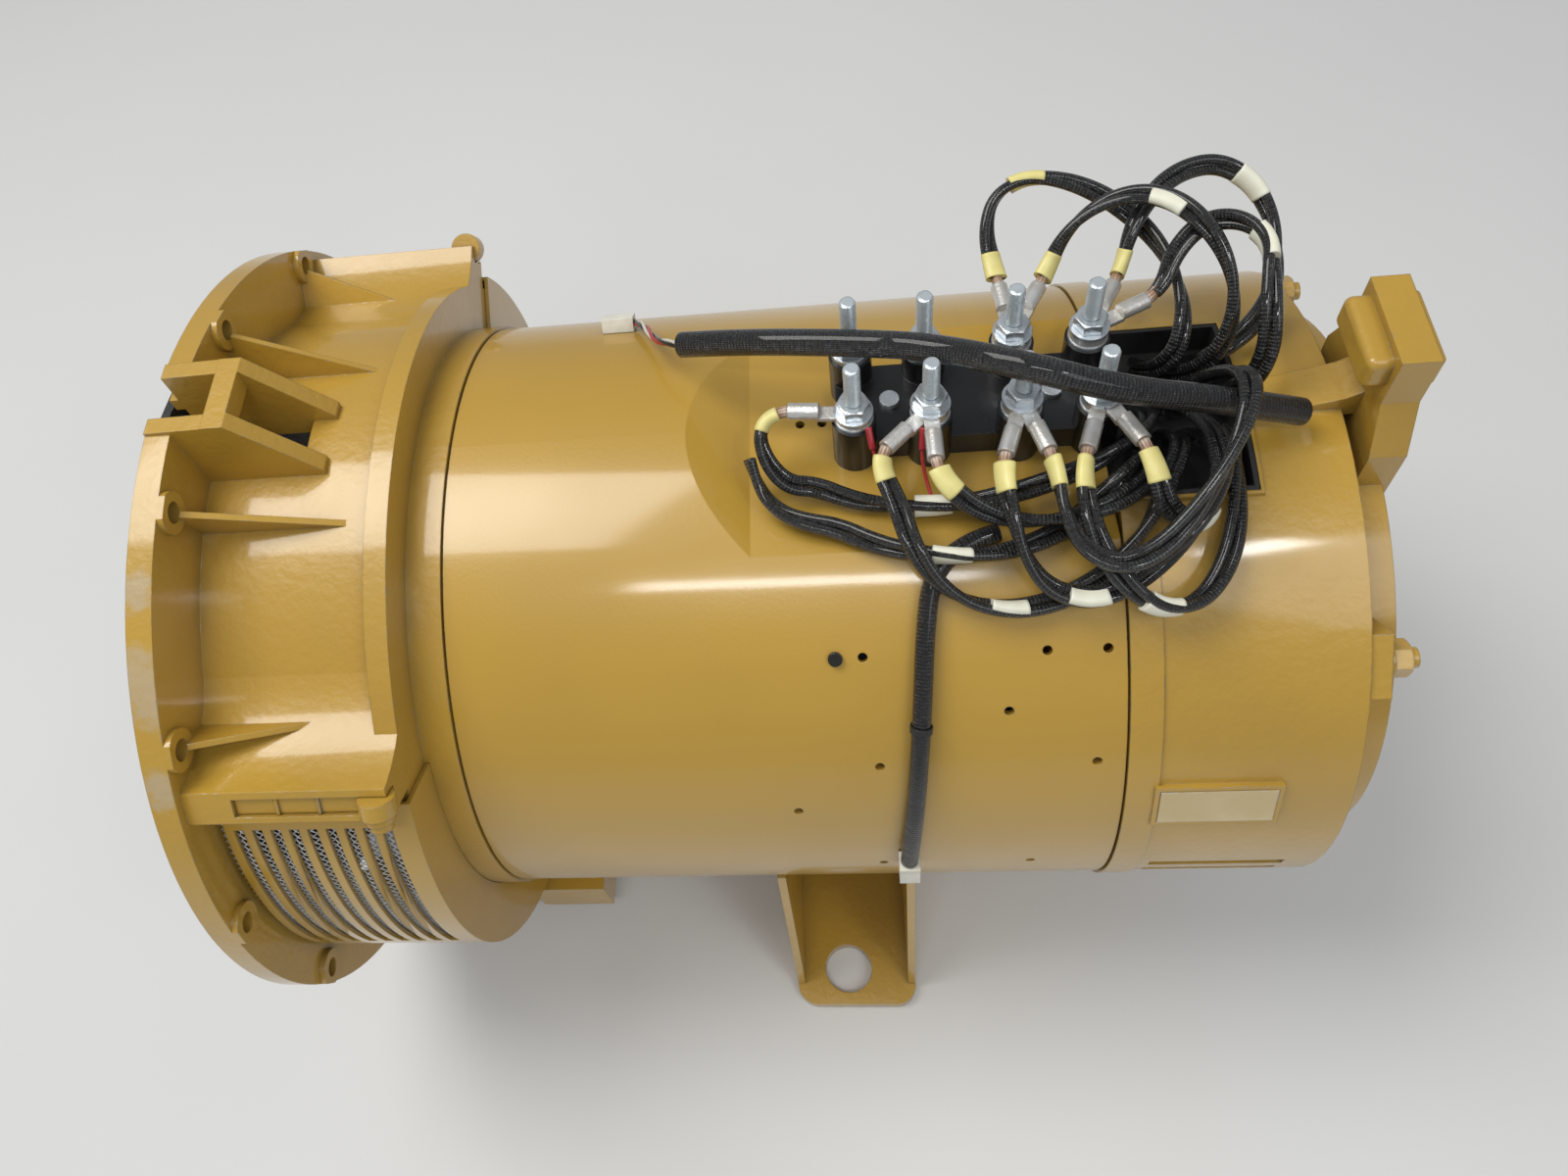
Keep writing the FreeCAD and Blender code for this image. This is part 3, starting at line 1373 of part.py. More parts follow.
def cord_wire(name):
    points = route(name)
    arcs = corner_arcs(points)
    edges = []
    here = points[0]
    for start, middle, end, radius in arcs:
        edges.append(line(here, start))
        edges.append(Part.Arc(start, middle, end).toShape())
        here = end
    edges.append(line(here, points[-1]))
    print(name, "corner radii", " ".join(str(round(a[3], 1)) for a in arcs))
    return Part.Wire(edges)


def swept(wire, start, direction, radius):
    profile = Part.Wire(Part.makeCircle(radius, start, direction))
    return wire.makePipeShell([profile], True, False)


def cord(name, radius):
    wire = cord_wire(name)
    points = route(name)
    tube = swept(wire, points[0], points[1] - points[0], radius)
    share = tube.Volume / (math.pi * radius * radius * wire.Length)
    print(name, "length", round(wire.Length, 1), "volume over section times length", round(share, 3))
    return tube


def lead_markers():
    """Printed sleeves shrunk onto the leads."""
    solids = []
    for name, corner in marker_places:
        start, middle, end, radius = corner_arcs(route(name))[corner - 1]
        wire = Part.Wire(Part.Arc(start, middle, end).toShape())
        direction = start - route(name)[corner - 1]
        outer = swept(wire, start, direction, lead_radius + marker_wall)
        solids.append(outer.cut(swept(wire, start, direction, lead_radius + touch_gap)))
    return Part.makeCompound(solids)


def harness_fittings():
    """The two plugs at the harness ends and the tie round the side harness."""
    points = route("harness_side")
    run = points[tie_run + 1] - points[tie_run]
    middle = points[tie_run] + run / 2
    direction = Vector(run).normalize()
    start = middle - direction * (tie_length / 2)
    inner = side_harness_radius + tie_gap
    band = Part.makeCylinder(inner + tie_wall, tie_length, start, direction)
    band = band.cut(Part.makeCylinder(inner, 2 * tie_length, start - direction * overrun, direction))
    return Part.makeCompound([radial_box(*upper_connector), radial_box(*side_connector), band])


def small_screws():
    """The two block screws, and the one terminal box screw that is in its hole."""
    solids = []
    level = flat_height + block_base_height + 2 * touch_gap
    for x, y in block_screw_places():
        head = Part.makeCylinder(block_screw_head_radius, block_screw_head_height, Vector(x, y, level))
        shank = Part.makeCylinder(block_screw_radius, level - flat_inner + bite, Vector(x, y, flat_inner))
        solids.append(head.fuse(shank))
    angle, x = box_screw_place
    direction = polar(angle, 1)
    start = polar(angle, barrel_radius - barrel_wall, x)
    seat = polar(angle, barrel_radius + touch_gap, x)
    shank = Part.makeCylinder(box_hole_radius - seat_gap, barrel_wall + bite, start, direction)
    head = Part.makeCylinder(box_screw_head_radius, box_screw_head_height, seat, direction)
    solids.append(shank.fuse(head))
    return Part.makeCompound(solids)


def end_windings():
    front = winding(core_start - winding_overhang, core_start - fit_gap)
    rear = winding(core_end + fit_gap, core_end + winding_overhang)
    return Part.makeCompound([front, rear])


nodes = {
    "drive_end_housing": drive_end_housing,
    "louvre_cover": louvre_cover,
    "cover_edge_strips": edge_strips,
    "cover_latches": cover_latches,
    "louvre_mesh": louvre_mesh,
    "stator_barrel": stator_barrel,
    "stator_bars": stator_bars,
    "stator_core": stator_core,
    "end_windings": end_windings,
    "near_foot": lambda: foot(-1),
    "far_foot": lambda: foot(1),
    "rear_housing": rear_housing,
    "data_plate": data_plate,
    "exit_liner": exit_liner,
    "tie_rods": tie_rods,
    "tie_rod_nuts": tie_rod_nuts,
    "bearing_cap": bearing_cap,
    "cap_screws": cap_screws,
    "bearing_outer_ring": bearing_outer_ring,
    "bearing_inner_ring": bearing_inner_ring,
    "bearing_balls": bearing_balls,
    "bearing_cage": bearing_cage,
    "exciter_stator": exciter_stator,
    "exciter_field_coils": exciter_field_coils,
    "exciter_armature": exciter_armature,
    "exciter_winding": exciter_winding,
    "rectifier_carrier": rectifier_carrier,
    "rectifier_diodes": rectifier_diodes,
    "shaft": shaft,
    "hub_key": hub_key,
    "rotor_core": rotor_core,
    "rotor_coils": rotor_coils,
    "cooling_fan": cooling_fan,
    "drive_hub": drive_hub,
    "drive_discs": drive_discs,
    "disc_clamp_ring": disc_clamp_ring,
    "disc_bolts": disc_bolts,
    "terminal_block": terminal_block,
    "terminal_studs": terminal_studs,
    "terminal_washers": terminal_washers,
    "terminal_nuts": terminal_nuts,
    "small_screws": small_screws,
    "cable_lugs": cable_lugs,
    "lead_markers": lead_markers,
    "harness_fittings": harness_fittings,
    "harness_upper": lambda: cord("harness_upper", upper_harness_radius),
    "harness_side": lambda: cord("harness_side", side_harness_radius),
    "harness_tail": lambda: cord("harness_tail", tail_radius),
}

for lead in [name for name in cord_routes if name.startswith("lead_")]:
    nodes[lead] = lambda lead=lead: cord(lead, lead_radius)

os.makedirs("parts", exist_ok=True)
for name, make in nodes.items():
    shape = make()
    shape.exportStep("parts/" + name + ".step")
    print(name, "solids", len(shape.Solids), "valid", shape.isValid(), "volume", round(shape.Volume / 1000))
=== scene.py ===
"""Generator alternator head: finishes, output leads, harnesses, light and camera."""
import math

import bpy
import numpy as np
from mathutils import Matrix, Vector


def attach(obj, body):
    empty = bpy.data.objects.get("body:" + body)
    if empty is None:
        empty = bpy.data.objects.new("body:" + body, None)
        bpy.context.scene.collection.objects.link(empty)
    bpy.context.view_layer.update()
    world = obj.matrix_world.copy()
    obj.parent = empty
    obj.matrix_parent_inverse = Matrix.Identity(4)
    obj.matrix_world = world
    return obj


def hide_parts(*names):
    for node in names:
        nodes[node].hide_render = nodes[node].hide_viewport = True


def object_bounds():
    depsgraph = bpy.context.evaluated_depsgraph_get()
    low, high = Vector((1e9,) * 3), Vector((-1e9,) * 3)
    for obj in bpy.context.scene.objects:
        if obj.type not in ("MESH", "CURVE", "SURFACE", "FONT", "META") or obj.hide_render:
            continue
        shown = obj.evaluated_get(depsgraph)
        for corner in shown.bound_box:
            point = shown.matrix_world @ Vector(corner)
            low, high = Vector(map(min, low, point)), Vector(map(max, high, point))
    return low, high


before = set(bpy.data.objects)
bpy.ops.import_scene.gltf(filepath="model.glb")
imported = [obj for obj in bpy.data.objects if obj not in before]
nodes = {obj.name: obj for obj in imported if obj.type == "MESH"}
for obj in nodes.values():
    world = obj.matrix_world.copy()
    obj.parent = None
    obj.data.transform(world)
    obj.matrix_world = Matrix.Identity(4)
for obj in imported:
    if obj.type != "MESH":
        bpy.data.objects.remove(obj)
cad_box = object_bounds()
scene = bpy.context.scene
BODY = "stator_frame"

# Camera: angles in degrees, place in metres, lens in millimetres
YAW, PITCH, ROLL = (math.radians(a) for a in (-14.27, 56.502, -15.331))
EYE = Vector((0.41208, -0.42955, 0.81095))
SENSOR_WIDTH, FOCAL_LENGTH = 36, 27.957
SHIFT_X, SHIFT_Y = 0.0625, -0.0625
NEAREST_SEEN = 0.01

ahead = Vector((math.sin(YAW) * math.cos(PITCH), math.cos(YAW) * math.cos(PITCH), -math.sin(PITCH)))
level = Vector((math.cos(YAW), -math.sin(YAW), 0))
over = level.cross(ahead)
right = level * math.cos(ROLL) + over * math.sin(ROLL)
up = over * math.cos(ROLL) - level * math.sin(ROLL)
lens = bpy.data.cameras.new("camera")
lens.sensor_width = SENSOR_WIDTH
lens.lens = FOCAL_LENGTH
lens.shift_x = SHIFT_X
lens.shift_y = SHIFT_Y
lens.clip_start = NEAREST_SEEN
camera = bpy.data.objects.new("camera", lens)
scene.collection.objects.link(camera)
camera.matrix_world = Matrix.Translation(EYE) @ Matrix((right, up, -ahead)).transposed().to_4x4()
scene.camera = camera

# Control points of the cords, in metres
ROUTES = {
    "lead_1": [
        (0.3767, -0.0087, 0.2333), (0.366, -0.0095, 0.2326), (0.3588, -0.0199, 0.2274),
        (0.3632, -0.0338, 0.2175), (0.3744, -0.0434, 0.2074), (0.3903, -0.0428, 0.2036),
        (0.4113, -0.0519, 0.2004), (0.434, -0.057, 0.2001), (0.4572, -0.0594, 0.2014),
        (0.4804, -0.0592, 0.2038), (0.5035, -0.0568, 0.2071), (0.5261, -0.0522, 0.2114),
        (0.5481, -0.0453, 0.2158), (0.5686, -0.0344, 0.2191), (0.5824, -0.0171, 0.2144),
        (0.58, 0.0004, 0.1995), (0.574, 0.012, 0.186),
    ],
    "lead_2": [
        (0.3525, -0.03, 0.218), (0.357, -0.045, 0.2065), (0.369, -0.058, 0.2011),
        (0.384, -0.065, 0.2003), (0.4019, -0.0695, 0.1997), (0.4218, -0.0808, 0.199),
        (0.4428, -0.0892, 0.2015), (0.464, -0.094, 0.2035), (0.4859, -0.0919, 0.1993),
        (0.5074, -0.0868, 0.1988), (0.5279, -0.0784, 0.2011), (0.5455, -0.0656, 0.2068),
        (0.5623, -0.0544, 0.2167), (0.5741, -0.0385, 0.2121), (0.5727, -0.0226, 0.1986),
        (0.57, -0.012, 0.186),
    ],
    "lead_3": [
        (0.4315, -0.0389, 0.2333), (0.4266, -0.0479, 0.2319), (0.4365, -0.0696, 0.2207),
        (0.4423, -0.0915, 0.2134), (0.4534, -0.1072, 0.2009), (0.4714, -0.116, 0.1888),
        (0.4942, -0.1188, 0.1831), (0.5179, -0.1153, 0.1827), (0.5406, -0.106, 0.1861),
        (0.5609, -0.0918, 0.1937), (0.5781, -0.0713, 0.2023), (0.5913, -0.0457, 0.2095),
        (0.5978, -0.0317, 0.2099), (0.5969, -0.0187, 0.199), (0.594, -0.012, 0.186),
    ],
    "lead_4": [
        (0.4584, -0.05, 0.2363), (0.46, -0.062, 0.2343), (0.4783, -0.0736, 0.2193),
        (0.5015, -0.0787, 0.2115), (0.5273, -0.0787, 0.212), (0.5532, -0.0729, 0.2148),
        (0.5741, -0.0563, 0.2102), (0.5835, -0.0405, 0.2039), (0.5864, -0.0239, 0.1948),
        (0.582, -0.012, 0.186),
    ],
    "lead_5": [
        (0.4967, -0.0477, 0.2333), (0.4937, -0.0595, 0.2325), (0.497, -0.0813, 0.224),
        (0.5022, -0.0996, 0.2114), (0.514, -0.1145, 0.1989), (0.5351, -0.1202, 0.1941),
        (0.557, -0.1145, 0.1967), (0.5756, -0.1061, 0.2075), (0.5916, -0.0944, 0.2195),
        (0.6042, -0.0763, 0.2249), (0.612, -0.055, 0.2278), (0.6103, -0.0325, 0.2248),
        (0.6043, -0.013, 0.2144), (0.5953, 0.0017, 0.199), (0.587, 0.012, 0.186),
    ],
    "lead_6": [
        (0.5195, -0.0487, 0.2363), (0.5222, -0.0612, 0.2356), (0.5238, -0.0836, 0.2287),
        (0.5314, -0.1047, 0.2225), (0.5508, -0.1156, 0.2217), (0.5722, -0.1066, 0.2253),
        (0.5892, -0.0914, 0.2333), (0.6038, -0.0736, 0.2414), (0.6161, -0.0539, 0.2491),
        (0.6253, -0.0323, 0.2559), (0.6265, -0.0113, 0.2487), (0.6192, 0.0016, 0.2281),
        (0.609, 0.0088, 0.2053), (0.6, 0.012, 0.186),
    ],
    "lead_7": [
        (0.5405, -0.0477, 0.2333), (0.5367, -0.0601, 0.2327), (0.5368, -0.083, 0.226),
        (0.5429, -0.1027, 0.215), (0.5546, -0.1208, 0.2066), (0.5723, -0.1281, 0.1938),
        (0.5946, -0.1224, 0.1893), (0.6106, -0.1032, 0.1959), (0.6193, -0.0785, 0.2046),
        (0.6234, -0.05, 0.2103), (0.6249, -0.0332, 0.2094), (0.6217, -0.0173, 0.2011),
        (0.618, -0.012, 0.186),
    ],
    "lead_8": [
        (0.5696, -0.0464, 0.2363), (0.574, -0.0588, 0.2346), (0.5789, -0.0819, 0.2188),
        (0.599, -0.0865, 0.2095), (0.6111, -0.0654, 0.2138), (0.6153, -0.0405, 0.2145),
        (0.6114, -0.019, 0.2047), (0.606, -0.012, 0.186),
    ],
    "lead_9": [
        (0.5064, 0.0739, 0.2333), (0.5048, 0.0862, 0.2345), (0.5007, 0.1062, 0.2468),
        (0.5066, 0.1255, 0.2579), (0.5266, 0.1345, 0.263), (0.5495, 0.1312, 0.2609),
        (0.5703, 0.1217, 0.2558), (0.5879, 0.1085, 0.2482), (0.6005, 0.0895, 0.2434),
        (0.6082, 0.0684, 0.2369), (0.6102, 0.0468, 0.2285), (0.6054, 0.0291, 0.2146),
        (0.5926, 0.0286, 0.1969), (0.586, 0.042, 0.186),
    ],
    "lead_10": [
        (0.5287, 0.0689, 0.2363), (0.5344, 0.0793, 0.2378), (0.545, 0.0937, 0.2528),
        (0.5619, 0.1026, 0.2649), (0.5827, 0.1032, 0.2735), (0.6027, 0.0936, 0.2761),
        (0.6176, 0.0769, 0.273), (0.6282, 0.0595, 0.2631), (0.6328, 0.0419, 0.2497),
        (0.6304, 0.0271, 0.233), (0.6207, 0.0195, 0.2142), (0.6077, 0.0244, 0.1968),
        (0.599, 0.036, 0.186),
    ],
    "lead_11": [
        (0.5725, 0.0689, 0.2333), (0.5782, 0.0795, 0.2352), (0.5843, 0.0953, 0.2532),
        (0.5973, 0.1117, 0.263), (0.616, 0.1251, 0.2665), (0.6383, 0.1299, 0.2649),
        (0.6571, 0.1205, 0.2563), (0.6665, 0.1025, 0.2452), (0.6681, 0.0815, 0.2354),
        (0.6628, 0.0597, 0.2276), (0.6495, 0.0404, 0.222), (0.63, 0.0284, 0.2143),
        (0.6164, 0.0311, 0.1992), (0.612, 0.042, 0.186),
    ],
    "lead_12": [
        (0.5879, 0.0521, 0.2363), (0.5973, 0.058, 0.2379), (0.6053, 0.0744, 0.2528),
        (0.6207, 0.0842, 0.2647), (0.6384, 0.0759, 0.2733), (0.6493, 0.057, 0.2738),
        (0.6463, 0.0358, 0.2699), (0.644, 0.0163, 0.2605), (0.6435, 0.0023, 0.2433),
        (0.6367, -0.0045, 0.2237), (0.6253, 0.0004, 0.2068), (0.6251, 0.0178, 0.1933),
        (0.625, 0.034, 0.186),
    ],
    "harness_upper": [
        (0.6599, -0.024, 0.222), (0.6078, -0.03, 0.248), (0.557, -0.035, 0.268),
        (0.5076, -0.0286, 0.2861), (0.4603, 0.006, 0.2655), (0.416, 0.0146, 0.2632), (0.377, 0.024, 0.257),
        (0.341, 0.036, 0.246), (0.313, 0.045, 0.236),
    ],
    "harness_side": [
        (0.492, -0.076, 0.1962), (0.473, -0.081, 0.1963), (0.4527, -0.0978, 0.1889),
        (0.4473, -0.1281, 0.1701), (0.4443, -0.1558, 0.1468), (0.4413, -0.1783, 0.1184),
        (0.4385, -0.1947, 0.0861), (0.4355, -0.2064, 0.0521), (0.4335, -0.2122, 0.0237),
    ],
    "harness_tail": [
        (0.3125, 0.0451, 0.2358), (0.3, 0.056, 0.226), (0.29, 0.074, 0.21), (0.283, 0.092, 0.1975),
        (0.276, 0.107, 0.1865), (0.2691, 0.1179, 0.1757),
    ],
}

# Thin wires from the block's posts to the leads below
SENSE_WIRES = {
    "sense_wire_1": [
        (0.4225, -0.0245, 0.2345), (0.4237, -0.0317, 0.229), (0.4259, -0.0377, 0.2195),
        (0.4299, -0.0436, 0.2105), (0.4345, -0.0509, 0.2045),
    ],
    "sense_wire_2": [
        (0.4532, -0.027, 0.2345), (0.4522, -0.0339, 0.229), (0.4519, -0.0396, 0.2195),
        (0.4537, -0.0467, 0.2095), (0.4568, -0.0578, 0.2035),
    ],
}

# Sleeves on each lead: the control point that one lies at, and its colour
SLEEVES = {
    "lead_1": [(1, "yellow"), (8, "white")],
    "lead_2": [(7, "white")],
    "lead_3": [(1, "yellow"), (6, "white")],
    "lead_4": [(1, "yellow")],
    "lead_5": [(1, "yellow"), (5, "white")],
    "lead_6": [(1, "yellow")],
    "lead_7": [(1, "yellow"), (5, "white")],
    "lead_8": [(1, "yellow"), (3, "white")],
    "lead_9": [(1, "yellow"), (4, "yellow")],
    "lead_10": [(1, "yellow"), (5, "white")],
    "lead_11": [(1, "yellow"), (6, "white")],
    "lead_12": [(5, "white")],
}


# Shader nodes
def new_material(name):
    made = bpy.data.materials.new(name)
    made.use_nodes = True
    return made, made.node_tree, made.node_tree.nodes["Principled BSDF"]


def put(tree, socket, value):
    """Links an output to a socket, or sets the socket's value."""
    if isinstance(value, bpy.types.NodeSocket):
        tree.links.new(value, socket)
    else:
        socket.default_value = value


def add(tree, kind, settings=None, **values):
    """A shader node with its inputs set by name, or by number as i0, i1 and so on."""
    made = tree.nodes.new("ShaderNode" + kind)
    for key, value in (settings or {}).items():
        setattr(made, key, value)
    for key, value in values.items():
        numbered = key[0] == "i" and key[1:].isdigit()
        put(tree, made.inputs[int(key[1:]) if numbered else key], value)
    return made


def calculate(tree, how, a, b=0.0):
    return add(tree, "Math", {"operation": how}, i0=a, i1=b).outputs[0]


def plus(tree, a, b):
    return calculate(tree, "ADD", a, b)


def times(tree, a, b):
    return calculate(tree, "MULTIPLY", a, b)


def between(tree, value, low, high, first=0.0, last=1.0):
    """Goes smoothly from first to last as a value goes from low to high."""
    made = add(tree, "MapRange", {"interpolation_type": "SMOOTHSTEP"}, Value=value)
    for key, number in (("From Min", low), ("From Max", high), ("To Min", first), ("To Max", last)):
        made.inputs[key].default_value = number
    return made.outputs[0]


def blend(tree, share, a, b):
    """Colour a where the share is 0 and colour b where it is 1."""
    made = add(tree, "Mix", {"data_type": "RGBA"}, i0=share)
    for index, colour in ((6, a), (7, b)):
        put(tree, made.inputs[index], (*colour, 1) if isinstance(colour, tuple) else colour)
    return made.outputs[2]


def noise(tree, where, scale, detail=3.0, rough=0.55):
    return add(tree, "TexNoise", Vector=where, Scale=scale, Detail=detail, Roughness=rough).outputs[0]


def axes(tree, where):
    return add(tree, "SeparateXYZ", Vector=where).outputs


def distance(tree, where, place):
    return add(tree, "VectorMath", {"operation": "DISTANCE"}, i0=where, i1=place).outputs["Value"]


# How every finish drifts: ranges of a noise that lies about 0.5
COLOUR_DRIFT = (0.32, 0.68)
SHINE_DRIFT = (0.3, 0.7)
ROUGHER, SMOOTHER = 0.07, 0.05
GRAIN_DETAIL = 2.0
BUMP_STRENGTH = 0.8
COAT_ROUGHNESS = 0.1
# Painted shade in corners, also meant as dirt: how far it reaches out in metres, and how open a place is at
# full painted shade and at none
CORNER_REACH, CORNER_SAMPLES = 0.02, 6
FULL_SHADE_OPENING, NO_SHADE_OPENING = 0.25, 0.85
SHADE_AND_DIRT_DRIFT = (0.3, 0.6)
LEAST_SHADE_AND_DIRT = 0.55
SHADE_AND_DIRT_TONE, DIRT_ROUGHNESS = 0.3, 0.3
# Chips along edges: how far the rounded face leans from the flat one, and the noise that breaks them up
EDGE_SAMPLES = 4
EDGE_LEAN = (0.99, 0.9)
CHIPS = dict(scale=110.0, detail=4.0, rough=0.7)
CHIP_RANGE = (0.5, 0.62)
CHIP_METAL = 0.6
# Grooves of a given relief
GROOVE_GRAIN = 0.3
GROOVE_RANGE = (0.2, 0.75)
GROOVE_SHADE = 0.35


def surface(
    name, light, dark, rough=0.4, metal=0.0, patch=14.0, grain=500.0, depth=0.0003, shade_and_dirt=0.5,
    shade_and_dirt_colour=None, wear=None, wear_width=0.0012, coat=0.0, height=None,
):
    """A finish whose colour drifts, with grain, painted shade (also meant as dirt) in its corners and wear
    along its edges.
    """
    made, tree, shader = new_material(name)
    where = add(tree, "TexCoord").outputs["Object"]
    drift = noise(tree, where, patch)
    relief = noise(tree, where, grain, GRAIN_DETAIL)
    colour = blend(tree, between(tree, drift, *COLOUR_DRIFT), dark, light)

    # Painted shade: the colour goes towards a dark tone where ambient occlusion finds corners and recesses,
    # and this is also meant as dirt. Where a lighter corner colour is given, as on rubber and plastic, the
    # corners get dust instead.
    hidden = add(tree, "AmbientOcclusion", {"samples": CORNER_SAMPLES}, Distance=CORNER_REACH)
    corner_shade = between(tree, hidden.outputs["AO"], FULL_SHADE_OPENING, NO_SHADE_OPENING, 1.0, 0.0)
    shade_and_dirt_mask = times(tree, corner_shade, between(tree, drift, *SHADE_AND_DIRT_DRIFT, 1.0, LEAST_SHADE_AND_DIRT))
    shade_and_dirt_mask = times(tree, shade_and_dirt_mask, shade_and_dirt)
    colour = blend(tree, shade_and_dirt_mask, colour, shade_and_dirt_colour or tuple(SHADE_AND_DIRT_TONE * c for c in dark))
    shine = between(tree, drift, *SHINE_DRIFT, rough + ROUGHER, rough - SMOOTHER)
    shine = plus(tree, shine, times(tree, shade_and_dirt_mask, DIRT_ROUGHNESS))

    metallic = metal
    rounded = add(tree, "Bevel", {"samples": EDGE_SAMPLES}, Radius=wear_width).outputs[0]
    if wear:
        flat = add(tree, "NewGeometry").outputs["Normal"]
        lean = add(tree, "VectorMath", {"operation": "DOT_PRODUCT"}, i0=rounded, i1=flat).outputs["Value"]
        chips = between(tree, noise(tree, where, **CHIPS), *CHIP_RANGE)
        edge = times(tree, between(tree, lean, *EDGE_LEAN), chips)
        colour = blend(tree, edge, colour, wear)
        metallic = calculate(tree, "MAXIMUM", metal, times(tree, edge, CHIP_METAL))
    if height:
        relief = plus(tree, times(tree, relief, GROOVE_GRAIN), height(tree, where))
        raised = between(tree, height(tree, where), *GROOVE_RANGE)
        colour = blend(tree, raised, tuple(GROOVE_SHADE * c for c in dark), colour)
    bump = add(tree, "Bump", Height=relief, Distance=depth, Strength=BUMP_STRENGTH, Normal=rounded)

    put(tree, shader.inputs["Base Color"], colour)
    put(tree, shader.inputs["Roughness"], shine)
    put(tree, shader.inputs["Metallic"], metallic)
    put(tree, shader.inputs["Normal"], bump.outputs[0])
    shader.inputs["Coat Weight"].default_value = coat
    shader.inputs["Coat Roughness"].default_value = COAT_ROUGHNESS
    return made


SHEET_THICKNESS = 0.001


def sheets(tree, where):
    """Relief of stacked steel sheets across the shaft."""
    along_shaft = times(tree, axes(tree, where)[0], math.pi / SHEET_THICKNESS)
    return calculate(tree, "ABSOLUTE", calculate(tree, "SINE", along_shaft))


SPOT_EDGE = 0.95


def recolour_near(made, colour, place, reach):
    """Gives a finish another colour within a distance of a place."""
    tree = made.node_tree
    socket = tree.nodes["Principled BSDF"].inputs["Base Color"]
    where = add(tree, "TexCoord").outputs["Object"]
    near = between(tree, distance(tree, where, place), reach, reach * SPOT_EDGE)
    put(tree, socket, blend(tree, near, socket.links[0].from_socket, colour))


# The flange's rim: radius, back face and how sharply the worn part ends, in metres
RIM_RADIUS, RIM_RADIUS_EDGE = 0.275, 0.0005
RIM_BACK, RIM_BACK_EDGE = 0.016, 0.001
RAGGED = dict(scale=55.0, detail=5.0, rough=0.75)
RAGGED_SHARE = 1.6
WORN_RANGE = (1.25, 1.75)
WORN_STRENGTH = 0.5


def wear_rim(made, bare, spots):
    """Wears a finish thin in ragged patches on the flange's rim: each spot is a place and a reach."""
    tree = made.node_tree
    socket = tree.nodes["Principled BSDF"].inputs["Base Color"]
    where = add(tree, "TexCoord").outputs["Object"]
    colour = socket.links[0].from_socket
    ragged = times(tree, noise(tree, where, **RAGGED), RAGGED_SHARE)
    x, y, z = axes(tree, where)
    radius = calculate(tree, "SQRT", plus(tree, times(tree, y, y), times(tree, z, z)))
    outer = between(tree, radius, RIM_RADIUS - RIM_RADIUS_EDGE, RIM_RADIUS + RIM_RADIUS_EDGE)
    rim = times(tree, outer, between(tree, x, RIM_BACK + RIM_BACK_EDGE, RIM_BACK - RIM_BACK_EDGE))
    for place, reach in spots:
        share = plus(tree, between(tree, distance(tree, where, place), reach, 0.0), ragged)
        share = times(tree, times(tree, between(tree, share, *WORN_RANGE), WORN_STRENGTH), rim)
        colour = blend(tree, share, colour, bare)
    put(tree, socket, colour)


LUMPS = dict(scale=230.0, detail=2.0)
COVER_DRIFT_SCALE = 60.0
COVER_DRIFT = (0.25, 0.75)
LEAST_LIGHT = 0.4
CROSSING_RANGE = (-0.6, 0.8)
CROSSING_RELIEF = 0.3
COVER_ROUGHER, COVER_SMOOTHER = 0.08, 0.06
COVER_BUMP = 0.9
COVER_COAT_ROUGHNESS = 0.06


def braid(name, light, dark, rough, around, along, depth, coat=0.0, lumpy=0.3):
    """Woven covering of a tube: threads counted around it, which cross at a distance along it."""
    made, tree, shader = new_material(name)
    spot = add(tree, "TexCoord")
    u, v, _ = axes(tree, spot.outputs["UV"])
    turn = times(tree, u, 2 * math.pi * around)
    run = times(tree, v, 2 * math.pi / along)
    one = calculate(tree, "SINE", plus(tree, turn, run))
    other = calculate(tree, "SINE", calculate(tree, "SUBTRACT", turn, run))
    crossing = times(tree, one, other)
    lumps = noise(tree, spot.outputs["Object"], **LUMPS)
    drift = noise(tree, spot.outputs["Object"], COVER_DRIFT_SCALE)
    relief = plus(tree, times(tree, crossing, CROSSING_RELIEF), times(tree, lumps, lumpy))
    share = between(tree, crossing, *CROSSING_RANGE)
    share = times(tree, share, between(tree, drift, *COVER_DRIFT, LEAST_LIGHT, 1.0))
    shine = between(tree, drift, *SHINE_DRIFT, rough + COVER_ROUGHER, rough - COVER_SMOOTHER)
    bump = add(tree, "Bump", Height=relief, Distance=depth, Strength=COVER_BUMP)
    put(tree, shader.inputs["Base Color"], blend(tree, share, dark, light))
    put(tree, shader.inputs["Roughness"], shine)
    put(tree, shader.inputs["Normal"], bump.outputs[0])
    shader.inputs["Coat Weight"].default_value = coat
    shader.inputs["Coat Roughness"].default_value = COVER_COAT_ROUGHNESS
    return made


# Painted finishes
# The corner setting in each finish darkens its corners with painted shade, also meant as dirt
PAINT = dict(
    light=(0.50, 0.30, 0.040), dark=(0.455, 0.27, 0.034), rough=0.36,
    shade_and_dirt=0.6, shade_and_dirt_colour=(0.07, 0.045, 0.015), wear=(0.33, 0.30, 0.24), coat=0.7,
)
THIN_PAINT = (0.46, 0.42, 0.34)
WORN_SPOTS = [((0.008, -0.163, 0.223), 0.06), ((0.006, -0.118, 0.25), 0.03), ((0.01, -0.21, 0.18), 0.03)]

